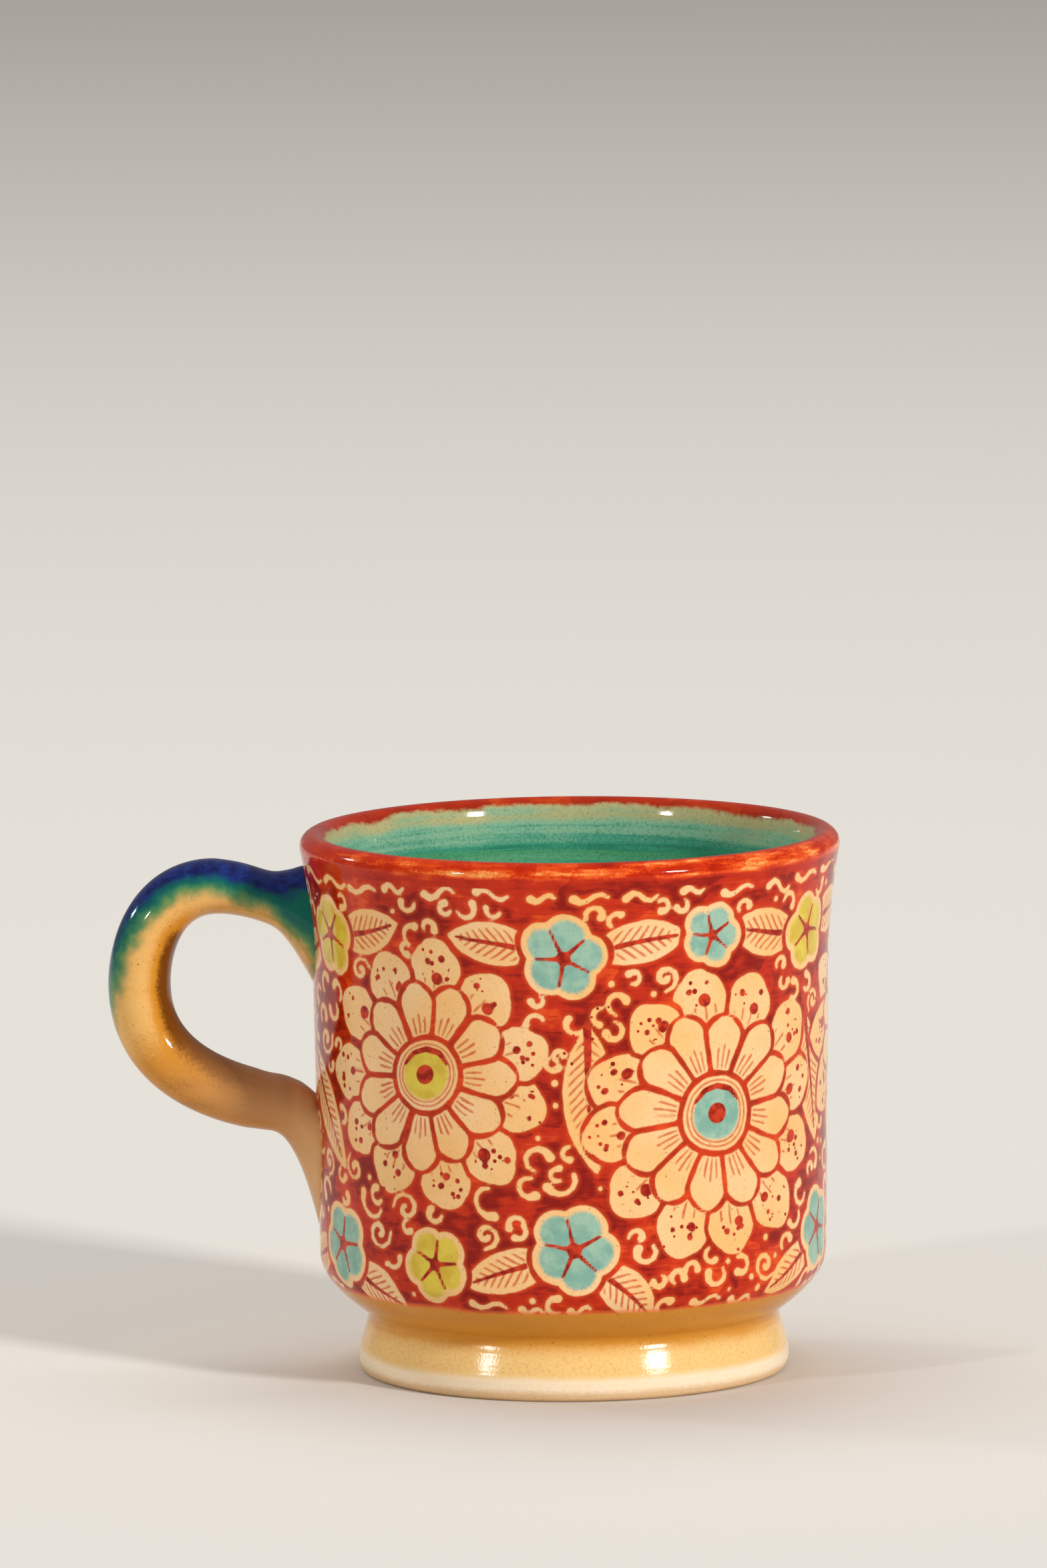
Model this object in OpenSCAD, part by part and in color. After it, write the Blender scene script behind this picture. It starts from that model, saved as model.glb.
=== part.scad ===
// Hand-thrown clay mug: a cup on a turned foot ring, a pulled loop handle luted to the wall by two
// flared joins, and the fired coats of slip and glaze that cover them.
// Millimetres, +Z up. The origin is the middle of the plane that the foot rests on, and the handle
// points along -X.

/* [Cup] */
// Outer diameter of the clay lip, under its slip
rim_d = 89.4; // [82:0.2:110]
// Height of the middle of the rolled lip above the table
lip_z = 88.3; // [76:0.1:120]
// Thickness of the rolled lip
lip_t = 4.1; // [3:0.1:6]
// Lean of the outside where it runs into the lip
lip_lean = 11; // [4:1:20]
// Height over which the outside flares to the lip
flare_h = 19; // [10:0.5:28]
// How far the wall stands in from the lip where the flare starts
neck_in = 2; // [1.4:0.1:3]
// How far the wall stands in from the lip at its lower end
wall_in = 2.7; // [2:0.1:4.5]
// Thickness of the wall
wall_t = 3.4; // [2.4:0.1:4.6]
// Height above the foot at which the lines of the wall and of the underside cross
corner_rise = 6.9; // [5.6:0.1:8.4]
// Height above that crossing at which the wall starts to turn in
turn_h = 4; // [2:0.1:10]
// Thickness of the floor
floor_t = 4.8; // [3.4:0.1:7]
// Reach of the hollow's rounded corner
hollow_corner = 9; // [4:0.5:14]

/* [Foot] */
// Height of the foot ring
foot_h = 9.1; // [7:0.1:12]
// How far the ring's waist, where it meets the cup, stands in from the wall
waist_in = 8; // [6:0.1:12]
// How far the ring flares out past its waist
foot_out = 1.9; // [1.2:0.1:4]
// Height of the largest diameter above the table
foot_bulge_z = 2.9; // [1.6:0.1:3.6]
// How far the flat that the mug rests on stands in from the largest diameter
rest_in = 1.2; // [0.6:0.1:1.8]
// Reach of the rounding where the ring's waist runs into the cup
waist_round = 1.2; // [0.6:0.1:1.8]
// Width of that flat
rest_w = 3.2; // [2:0.1:5]
// Width of the ring where it meets the cup
seat_w = 5; // [4:0.1:8]

/* [Handle] */
// Distance from the joins to the middle line of the loop at its farthest
loop_out = 21.9; // [16:0.1:34]
// Drop from the lip to the middle line where the upper arm leaves its join
top_drop = 8.8; // [7.4:0.1:11]
// Rise from the wall's lower end to the middle line where the lower arm meets its join
low_rise = 25.2; // [20:0.1:29]
// Thickness of the upper arm, seen from the side
arm_t = 8.8; // [7:0.1:11]
// Thickness of the lower arm, seen from the side
low_arm_t = 9.8; // [7:0.1:12]
// Thickness of the loop on its outer side
loop_t = 10.5; // [8:0.1:13]
// Width of the loop, seen from its end
loop_w = 12.6; // [9:0.1:15]

/* [Joins] */
// How far the ends of the loop, where the joins start, stand out from the lip
join_out = 5.3; // [3.5:0.1:9]
// Drop from the lip to the upper join's top edge on the wall
join_drop = 2.7; // [2:0.1:3.3]
// Height of the upper join on the wall
upper_join_h = 22.2; // [18:0.1:27]
// Rise from the wall's lower end to the tip of the tail that is drawn down the wall
tail_rise = 2.6; // [1:0.1:6]
// Height of the lower join on the wall, with its tail
lower_join_h = 23.2; // [19:0.1:27]
// Width of both joins on the wall
join_w = 16.4; // [14:0.1:20]

/* [Coats] */
// Thickness of the coloured slip
slip_t = 0.3; // [0.2:0.05:0.5]
// Thickness of the glaze
glaze_t = 0.35; // [0.2:0.05:0.6]
// Clear margin of bare clay round the joins
reserve_margin = 0.5; // [0.3:0.1:1]
// Width of the bare strip below the tail
strip_w = 9; // [5:0.5:12]

/* [Hidden] */
$fn = 96;

lip_r = lip_t / 2;
lip_mid_r = rim_d / 2 - lip_r;
neck_r = rim_d / 2 - neck_in;
wall_r = rim_d / 2 - wall_in;
waist_r = wall_r - waist_in;
foot_r = waist_r + foot_out;
rest_r = foot_r - rest_in;
corner_z = foot_h + corner_rise;
wall_low_z = corner_z + turn_h;
floor_z = foot_h + floor_t;
flare_z = lip_z - flare_h;
hollow_r = wall_r - wall_t;

// Points on each curved stretch of an outline
curve_n = 12;
// Share of the flare's height over which it follows the lip's lean
lean_share = 0.42;
// Shares of the foot's height above its bulge up to which it follows the bulge and from which it follows the
// waist, and the share of the way between them at which its round side turns hollow
bulge_share = 0.12;
waist_share = 0.97;
side_turn_share = 0.7;
// Lean of the inside where it leaves the lip, and the share of the flare's height over which it follows it
hollow_lean = 18;
hollow_lean_share = 0.28;
// Shares of the curves at which the slip starts, the rim's band starts and the glaze lining starts
slip_start_share = 0.47;
band_start_share = 0.92;
lining_start_share = 0.08;
// Overrun of every cut past the clay
overrun = 1.5;

// Points on a curve that leaves a for b and arrives at c, both ends included
function bend(a, b, c, n) = [
    for (i = [0 : n])
        let (t = i / n)
        (1 - t) * (1 - t) * a + 2 * t * (1 - t) * b + t * t * c
];

// Points on an arc, from angle a0 to a1
function arc(mid, r, a0, a1, n) = [
    for (i = [0 : n])
        let (a = a0 + (a1 - a0) * i / n)
        mid + r * [cos(a), sin(a)]
];

function unit(v) = v / norm(v);
function span(list, first, last) = [for (i = [first : last]) list[i]];
function backwards(list) = [for (i = [len(list) - 1 : -1 : 0]) list[i]];

// The side of an outline's segment i that faces away from the clay
function side(pts, i) =
    let (d = unit(pts[i + 1] - pts[i]))
    [d[1], -d[0]];

// The outline moved out by a coat's thickness, with mitred corners
function grown(pts, t) = [
    for (i = [0 : len(pts) - 1])
        let (
            before = side(pts, max(i - 1, 0)),
            after = side(pts, min(i, len(pts) - 2)),
            mitre = unit(before + after)
        )
        pts[i] + t / (mitre * after) * mitre
];

// The outside of the foot, from the table up to its waist
lip_out = lip_mid_r + lip_r * cos(lip_lean);
lip_out_z = lip_z - lip_r * sin(lip_lean);
lean_h = flare_h * lean_share;
rest_edge = [rest_r, 0];
bulge = [foot_r, foot_bulge_z];
waist = [waist_r, foot_h];
foot_edge = bend(rest_edge, [foot_r, 0], bulge, curve_n / 2);
side_h = foot_h - foot_bulge_z;
bulge_aim = bulge + [0, side_h * bulge_share];
waist_aim = [waist_r, foot_bulge_z + side_h * waist_share];
side_turn = bulge_aim + (waist_aim - bulge_aim) * side_turn_share;
foot_side = concat(
    bend(bulge, bulge_aim, side_turn, curve_n / 2),
    span(bend(side_turn, waist_aim, waist, curve_n / 2), 1, curve_n / 2)
);

// The outside of the cup, from its seat on the foot up to the lip
corner = [wall_r, corner_z];
round_aim = waist + [0, waist_round];
round_end = round_aim + waist_round * unit(corner - round_aim);
waist_turn = bend(waist, round_aim, round_end, curve_n / 2);
under_side = bend(round_end, corner, [wall_r, wall_low_z], curve_n);
flare_end = [lip_out, lip_out_z];
flare_knee = flare_end - lean_h * [tan(lip_lean), 1];
flare = bend([neck_r, flare_z], flare_knee, flare_end, curve_n);

// The lip, and the inside from the lip down to the middle of the floor
lip = arc([lip_mid_r, lip_z], lip_r, -lip_lean, 180 - hollow_lean, curve_n);
lip_in = lip[curve_n];
hollow_knee = lip_in - flare_h * hollow_lean_share * [tan(hollow_lean), 1];
throat = bend(lip_in, hollow_knee, [neck_r - wall_t, flare_z], curve_n);
hollow_turn = bend([hollow_r, floor_z + hollow_corner], [hollow_r, floor_z],
    [hollow_r - hollow_corner, floor_z], curve_n);

// One outline of all the clay that a coat can cover, from the foot to the middle of the floor
skin = concat(
    foot_edge,
    span(foot_side, 1, curve_n),
    span(waist_turn, 1, curve_n / 2),
    span(under_side, 1, curve_n),
    flare,
    span(lip, 1, curve_n),
    span(throat, 1, curve_n),
    hollow_turn,
    [[0, floor_z]]
);

// Places on that outline where one coat ends and the next starts
at_bulge = len(foot_edge) - 1;
at_waist = at_bulge + curve_n;
at_under = at_waist + curve_n / 2;
at_slip = at_under + round(curve_n * slip_start_share);
at_flare = at_under + curve_n + 1;
at_band = at_flare + round(curve_n * band_start_share);
at_lining = at_flare + 2 * curve_n + round(curve_n * lining_start_share);
at_floor = len(skin) - 1;

// A coat of thickness t over the outline from one place to another
module coat(t, first, last) {
    over = grown(skin, t);
    rotate_extrude()
        polygon(concat(span(skin, first, last), backwards(span(over, first, last))));
}

// The cup's outside as a solid, which the joins are fitted to
module cup_outside() {
    rotate_extrude()
        polygon(concat(
            [[0, foot_h]],
            span(skin, at_waist, at_flare + 2 * curve_n),
            [[0, lip_z]]
        ));
}

module cup_body() {
    color("peru")
        rotate_extrude()
            polygon(concat([[0, foot_h]], span(skin, at_waist, at_floor)));
}

module foot_ring() {
    color("sandybrown")
        rotate_extrude()
            polygon(concat(
                [[rest_r - rest_w, 0]],
                span(skin, 0, at_waist),
                [[waist_r - seat_w, foot_h]]
            ));
}

// Where the two bends of the loop's middle line aim, as shares of its reach past the joins and of the
// heights of its upper and lower halves
upper_aim_shares = [0.76, 0.5];
upper_turn_share = 0.62;
lower_turn_share = 0.86;
lower_aim_shares = [0.08, 0.02];
// Points on each bend
loop_n = 26;
// Points round a section of the handle
ring_n = 32;
// Share of the loop over which its sections turn to face the wall
facing_share = 0.16;

// Share of the height between the arms at which the loop is farthest out
mid_share = 0.58;

join_x = rim_d / 2 + join_out;
loop_reach = join_x + loop_out;
loop_top_z = lip_z - top_drop;
loop_low_z = wall_low_z + low_rise;
loop_mid_z = loop_low_z + (loop_top_z - loop_low_z) * mid_share;
upper_top_z = lip_z - join_drop;
upper_low_z = upper_top_z - upper_join_h;
tail_tip_z = wall_low_z + tail_rise;
lower_top_z = tail_tip_z + lower_join_h;
upper_h = loop_top_z - loop_mid_z;
lower_h = loop_mid_z - loop_low_z;

// Points on a curve from a to d that aims at b and comes from c, both ends included
function swing(a, b, c, d, n) = [
    for (i = [0 : n])
        let (
            t = i / n,
            u = 1 - t
        )
        u * u * u * a + 3 * t * u * u * b + 3 * t * t * u * c + t * t * t * d
];

upper_swing = swing(
    [-join_x, loop_top_z],
    [-join_x - loop_out * upper_aim_shares[0], loop_top_z + upper_h * upper_aim_shares[1]],
    [-loop_reach, loop_mid_z + upper_h * upper_turn_share],
    [-loop_reach, loop_mid_z],
    loop_n
);
lower_swing = swing(
    [-loop_reach, loop_mid_z],
    [-loop_reach, loop_mid_z - lower_h * lower_turn_share],
    [-join_x - loop_out * lower_aim_shares[0], loop_low_z + lower_h * lower_aim_shares[1]],
    [-join_x, loop_low_z],
    loop_n
);
loop_line = concat(upper_swing, span(lower_swing, 1, loop_n));
line_last = len(loop_line) - 1;

// The heading of the middle line at point i, from 180 at the upper end to 360 at the lower end
function heading(i) =
    let (
        d = loop_line[min(i + 1, line_last)] - loop_line[max(i - 1, 0)],
        a = (atan2(d[1], d[0]) + 360) % 360,
        start = max(0, 1 - i / line_last / facing_share),
        end = max(0, 1 - (line_last - i) / line_last / facing_share)
    )
    a < 90 ? 360 : a + (180 - a) * start + (360 - a) * end;

// A ring of the loop: its thickness runs from arm to arm and swells to the outer side
function loop_ring(i) =
    let (
        a = heading(i),
        s = i / line_last,
        swell = loop_t - (arm_t + low_arm_t) / 2,
        half = (arm_t + (low_arm_t - arm_t) * s + swell * sin(180 * s)) / 2
    )
    [
        for (k = [0 : ring_n - 1])
            let (
                turn = 360 * k / ring_n,
                out = half * cos(turn)
            )
            [
                loop_line[i][0] + out * sin(a),
                loop_w / 2 * sin(turn),
                loop_line[i][1] - out * cos(a)
            ]
    ];

// A solid through a list of rings that have the same number of points
module ring_solid(rings) {
    n = len(rings[0]);
    last = len(rings) - 1;
    walls = [
        for (i = [0 : last - 1], k = [0 : n - 1])
            let (m = (k + 1) % n)
            each [[i * n + k, i * n + m, i * n + n + m], [i * n + k, i * n + n + m, i * n + n + k]]
    ];
    ends = [
        for (k = [1 : n - 2])
            each [[0, k + 1, k], [last * n, last * n + k, last * n + k + 1]]
    ];
    polyhedron(points = [for (r = rings) each r], faces = concat(walls, ends));
}

module handle_loop() {
    color("goldenrod")
        ring_solid([for (i = [0 : line_last]) loop_ring(i)]);
}

// Sections of a join between the loop and the wall
join_n = 12;
// How slowly the joins spread: the larger, the nearer to the wall they flare
upper_spread = 1.4;
lower_spread = 2;
// How much narrower a tail is at its tip than at its root, as a share of its width
tail_taper_share = 0.45;
// The joins reach this far into the wall before they are fitted to it
join_depth = join_w * join_w / 8 / hollow_r + overrun;

// The outline of a join between two heights, narrowed towards its tip
function join_outline(top_z, low_z, width, taper) = [
    for (k = [0 : ring_n - 1])
        let (turn = 360 * k / ring_n)
        [
            width / 2 * sin(turn) * (1 + taper * cos(turn)),
            (top_z + low_z) / 2 + (top_z - low_z) / 2 * cos(turn)
        ]
];

// A shape that starts as the loop's section and spreads to its outline on the wall, grown by a margin
module flared_shape(arm_z, thick, top_z, low_z, spread, taper, margin) {
    rings = [
        for (i = [0 : join_n])
            let (
                t = i / join_n,
                w = pow(t, spread),
                outline = join_outline(
                    arm_z + thick / 2 + (top_z - arm_z - thick / 2) * w + margin,
                    arm_z - thick / 2 + (low_z - arm_z + thick / 2) * w - margin,
                    loop_w + (join_w - loop_w) * w + 2 * margin,
                    taper * w
                )
            )
            [for (p = outline) [-join_x + (join_x - wall_r) * t, p[0], p[1]]]
    ];
    inside = [for (p = rings[join_n]) p + [join_depth, 0, 0]];
    ring_solid(concat(rings, [inside]));
}

module upper_shape(margin) {
    flared_shape(loop_top_z, arm_t, upper_top_z, upper_low_z, upper_spread, 0, margin);
}

module lower_shape(margin) {
    flared_shape(loop_low_z, low_arm_t, lower_top_z, tail_tip_z, lower_spread, tail_taper_share, margin);
}

module upper_join() {
    color("seagreen")
        difference() {
            upper_shape(0);
            cup_outside();
        }
}

module lower_join() {
    color("burlywood")
        difference() {
            lower_shape(0);
            cup_outside();
        }
}

// A cut through the -X side of the wall, in the outline that its children draw as seen from there
module wall_cut() {
    translate([-loop_reach, 0, 0])
        rotate([90, 0, 90])
            linear_extrude(loop_reach)
                children();
}

module outer_slip() {
    color("firebrick")
        difference() {
            coat(slip_t, at_slip, at_band);
            upper_shape(reserve_margin);
            lower_shape(reserve_margin);
            wall_cut()
                translate([-strip_w / 2, 0])
                    square([strip_w, (lower_top_z + tail_tip_z) / 2]);
        }
}

module rim_slip() {
    color("orangered")
        coat(slip_t, at_band, at_lining);
}

module inner_glaze() {
    color("mediumseagreen")
        coat(glaze_t, at_lining, at_floor);
}

module foot_glaze() {
    color("orange")
        coat(glaze_t, at_bulge, at_slip);
}

cup_body();
foot_ring();
handle_loop();
upper_join();
lower_join();
outer_slip();
rim_slip();
inner_glaze();
foot_glaze();
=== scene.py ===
"""Looks of a hand-thrown clay mug: slip-painted wall, brushed lip, glazed lining, foot and handle."""

import logging
import math
import random
from dataclasses import dataclass
from enum import Enum
from typing import Any, Callable, Iterable, Sequence

import bmesh
import bpy
import numpy as np
from mathutils import Matrix, Vector


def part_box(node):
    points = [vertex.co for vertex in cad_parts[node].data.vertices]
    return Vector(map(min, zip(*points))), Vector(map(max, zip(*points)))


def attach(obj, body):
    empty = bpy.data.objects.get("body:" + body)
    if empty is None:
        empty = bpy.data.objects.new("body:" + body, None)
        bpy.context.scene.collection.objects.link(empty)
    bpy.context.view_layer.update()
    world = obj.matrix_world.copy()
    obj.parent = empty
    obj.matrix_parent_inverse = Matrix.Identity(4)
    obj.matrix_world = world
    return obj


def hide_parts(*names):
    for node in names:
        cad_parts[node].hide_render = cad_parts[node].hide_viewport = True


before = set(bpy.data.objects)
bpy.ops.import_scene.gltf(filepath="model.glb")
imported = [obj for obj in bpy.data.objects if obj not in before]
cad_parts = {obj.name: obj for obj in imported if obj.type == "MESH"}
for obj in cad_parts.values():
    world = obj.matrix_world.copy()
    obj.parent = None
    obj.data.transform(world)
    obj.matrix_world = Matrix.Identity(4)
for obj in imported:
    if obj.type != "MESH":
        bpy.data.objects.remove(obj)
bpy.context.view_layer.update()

MM = 0.001
SECTORS = 12
PHOTO_HEIGHT = 2349
Point = tuple[float, float]
Colour = tuple[float, float, float]
log = logging.getLogger("mug")


def curve(aims: Sequence[Point], n: int) -> list[Point]:
    """Points on a smooth curve that starts at its first aim, is drawn to the next and ends at the last.

    Args:
        aims: Three or four places.
        n: Number of steps.

    Returns:
        n + 1 points, both ends included.
    """
    found = []
    for i in range(n + 1):
        t = i / n
        line = np.array(aims, float)
        while len(line) > 1:
            line = line[:-1] * (1 - t) + line[1:] * t
        found.append(tuple(line[0]))
    return found


def grown(points: Sequence[Point], thickness: float) -> list[Point]:
    """An outline moved out by a coat's thickness, with mitred corners.

    Args:
        points: The outline, with the clay on its left.
        thickness: How far it moves, in millimetres. A negative value moves it into the clay.

    Returns:
        As many points as the outline has.
    """
    line = np.array(points, float)
    along = np.diff(line, axis=0)
    along /= np.linalg.norm(along, axis=1)[:, None]
    side = np.stack([along[:, 1], -along[:, 0]], 1)
    before = np.vstack([side[:1], side])
    after = np.vstack([side, side[-1:]])
    mitre = before + after
    mitre /= np.linalg.norm(mitre, axis=1)[:, None]
    reach = thickness / (mitre * after).sum(1)
    return [tuple(p) for p in line + reach[:, None] * mitre]


def resampled(points: Sequence[Point], count: int) -> list[Point]:
    """The same outline with points at even spacing.

    Args:
        points: The outline.
        count: Number of steps wanted.

    Returns:
        count + 1 points.
    """
    line = np.array(points, float)
    length = np.concatenate([[0], np.cumsum(np.linalg.norm(np.diff(line, axis=0), axis=1))])
    wanted = np.linspace(0, length[-1], count + 1)
    return list(zip(np.interp(wanted, length, line[:, 0]), np.interp(wanted, length, line[:, 1])))


@dataclass(frozen=True)
class Outline:
    """The mug's clay outline in millimetres. The fields that the frame knows are read from it."""

    rim_r: float
    crest_z: float
    foot_h: float
    foot_r: float
    slip: float
    lip_r: float = 2.05
    lip_lean: float = 11.0
    hollow_lean: float = 18.0
    flare_h: float = 19.0
    lean_share: float = 0.42
    hollow_lean_share: float = 0.28
    neck_r: float = 42.7
    wall_r: float = 42.0
    wall_t: float = 3.4
    wall_low_z: float = 20.0
    corner_z: float = 16.0
    floor_t: float = 4.8
    hollow_corner: float = 9.0
    waist_r: float = 34.0
    waist_round: float = 1.2
    bulge_share: float = 0.12
    waist_share: float = 0.97
    side_turn_share: float = 0.7
    bulge_z: float = 2.9
    slip_start_share: float = 0.47
    overlap_share: float = 0.12
    band_start_share: float = 0.92
    lining_start_share: float = 0.08
    steps: int = 36

    @classmethod
    def from_frame(cls) -> "Outline":
        """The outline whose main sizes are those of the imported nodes.

        Returns:
            The outline.
        """
        _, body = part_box("cup_body")
        _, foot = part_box("foot_ring")
        _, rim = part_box("rim_slip")
        return cls(
            rim_r=body[0] / MM,
            crest_z=body[2] / MM,
            foot_h=foot[2] / MM,
            foot_r=foot[0] / MM,
            slip=(rim[2] - body[2]) / MM,
        )

    @property
    def lip_z(self) -> float:
        """Height of the middle of the rolled lip."""
        return self.crest_z - self.lip_r

    @property
    def lip_mid_r(self) -> float:
        """Radius of the middle of the rolled lip."""
        return self.rim_r - self.lip_r

    @property
    def floor_z(self) -> float:
        """Height of the clay floor inside the cup."""
        return self.foot_h + self.floor_t

    def foot_side(self) -> list[Point]:
        """The foot from its widest place up to its waist, round at first and then hollow.

        Returns:
            The points.
        """
        side_h = self.foot_h - self.bulge_z
        low = (self.foot_r, self.bulge_z + side_h * self.bulge_share)
        high = (self.waist_r, self.bulge_z + side_h * self.waist_share)
        turn = tuple(a + (b - a) * self.side_turn_share for a, b in zip(low, high))
        first = curve(((self.foot_r, self.bulge_z), low, turn), self.steps // 2)
        return first + curve((turn, high, (self.waist_r, self.foot_h)), self.steps // 2)[1:]

    def under_side(self) -> list[Point]:
        """The cup's underside from the waist, where it turns out, round to the wall.

        Returns:
            The points.
        """
        aim = Vector((self.waist_r, self.foot_h + self.waist_round))
        corner = Vector((self.wall_r, self.corner_z))
        end = tuple(aim + (corner - aim).normalized() * self.waist_round)
        turn = curve(((self.waist_r, self.foot_h), tuple(aim), end), self.steps // 2)
        return turn + curve((end, tuple(corner), (self.wall_r, self.wall_low_z)), self.steps)[1:]

    def lip_arc(self) -> list[Point]:
        """The rolled lip from outside to inside.

        Returns:
            The points.
        """
        first, last = -self.lip_lean, 180 - self.hollow_lean
        angles = [math.radians(first + (last - first) * i / self.steps) for i in range(self.steps + 1)]
        return [
            (self.lip_mid_r + self.lip_r * math.cos(a), self.lip_z + self.lip_r * math.sin(a))
            for a in angles
        ]

    def _leaning(self, end: Point, lean: float, share: float, straight_r: float) -> list[Point]:
        """One side of the clay between an end of the lip and the straight below it.

        Args:
            end: The end of the lip's arc.
            lean: The side's lean there, in degrees.
            share: How far down that lean aims, as a share of the flare's height.
            straight_r: Radius of the straight.

        Returns:
            The side from the lip down.
        """
        lean_h = self.flare_h * share
        knee = (end[0] - lean_h * math.tan(math.radians(lean)), end[1] - lean_h)
        return curve((end, knee, (straight_r, self.lip_z - self.flare_h)), self.steps)

    def flare(self) -> list[Point]:
        """The outside from the top of the wall to the lip."""
        return self._leaning(self.lip_arc()[0], self.lip_lean, self.lean_share, self.neck_r)[::-1]

    def throat(self) -> list[Point]:
        """The inside from the lip down to the straight of the hollow."""
        hollow_r = self.neck_r - self.wall_t
        return self._leaning(self.lip_arc()[-1], self.hollow_lean, self.hollow_lean_share, hollow_r)

    def hollow_turn(self) -> list[Point]:
        """The hollow's rounded corner, down to the floor.

        Returns:
            The points.
        """
        r = self.wall_r - self.wall_t
        top = (r, self.floor_z + self.hollow_corner)
        return curve((top, (r, self.floor_z), (r - self.hollow_corner, self.floor_z)), self.steps)

    def skin(self) -> tuple[list[Point], dict[str, int]]:
        """All the clay that a coat can cover, from the foot to the middle of the floor.

        Returns:
            The outline, and the places on it where coats start or end, by name.
        """
        n = self.steps
        points = self.foot_side()
        points += self.under_side()[1:]
        points += self.flare()
        points += self.lip_arc()[1:]
        points += self.throat()[1:]
        points += self.hollow_turn()
        points.append((0.0, self.floor_z))
        under = n + n // 2
        flare = under + n + 1
        slip = under + round(n * self.slip_start_share)
        places = {
            "foot": 0,
            "seam": slip - round(n * self.overlap_share),
            "slip": slip,
            "band": flare + round(n * self.band_start_share),
            "lining": flare + 2 * n + round(n * self.lining_start_share),
            "floor": len(points) - 1,
        }
        return points, places


class Value:
    """A socket in a material's graph. Numbers take Python's arithmetic."""

    def __init__(self, graph: "Graph", socket: bpy.types.NodeSocket) -> None:
        """Wraps one output socket of the graph."""
        self.graph = graph
        self.socket = socket

    def _math(self, operation: str, *terms: "Value | float") -> "Value":
        """Adds a Math node that works on these terms in order."""
        node = self.graph.node("ShaderNodeMath", {"operation": operation}, dict(enumerate(terms)))
        return Value(self.graph, node.outputs[0])

    def __add__(self, other: "Value | float") -> "Value":
        """self + other"""
        return self._math("ADD", self, other)

    __radd__ = __add__

    def __sub__(self, other: "Value | float") -> "Value":
        """self - other"""
        return self._math("SUBTRACT", self, other)

    def __rsub__(self, other: float) -> "Value":
        """other - self"""
        return self._math("SUBTRACT", other, self)

    def __mul__(self, other: "Value | float") -> "Value":
        """self * other"""
        return self._math("MULTIPLY", self, other)

    __rmul__ = __mul__

    def __or__(self, other: "Value | float") -> "Value":
        """The larger of the two, which joins two masks."""
        return self._math("MAXIMUM", self, other)

    def __and__(self, other: "Value | float") -> "Value":
        """The smaller of the two, which keeps what two masks share."""
        return self._math("MINIMUM", self, other)

    def fraction(self) -> "Value":
        """What is left of it past a whole number."""
        return self._math("FRACT", self)

    def size(self) -> "Value":
        """Its size without its sign."""
        return self._math("ABSOLUTE", self)

    def rise(self, low: float, high: float) -> "Value":
        """A smooth step.

        Args:
            low: Where it is 0.
            high: Where it is 1, which may be the lesser of the two.

        Returns:
            The step.
        """
        settings = {"interpolation_type": "SMOOTHSTEP"}
        values = {"Value": self, "From Min": low, "From Max": high}
        return Value(self.graph, self.graph.node("ShaderNodeMapRange", settings, values).outputs[0])


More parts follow.
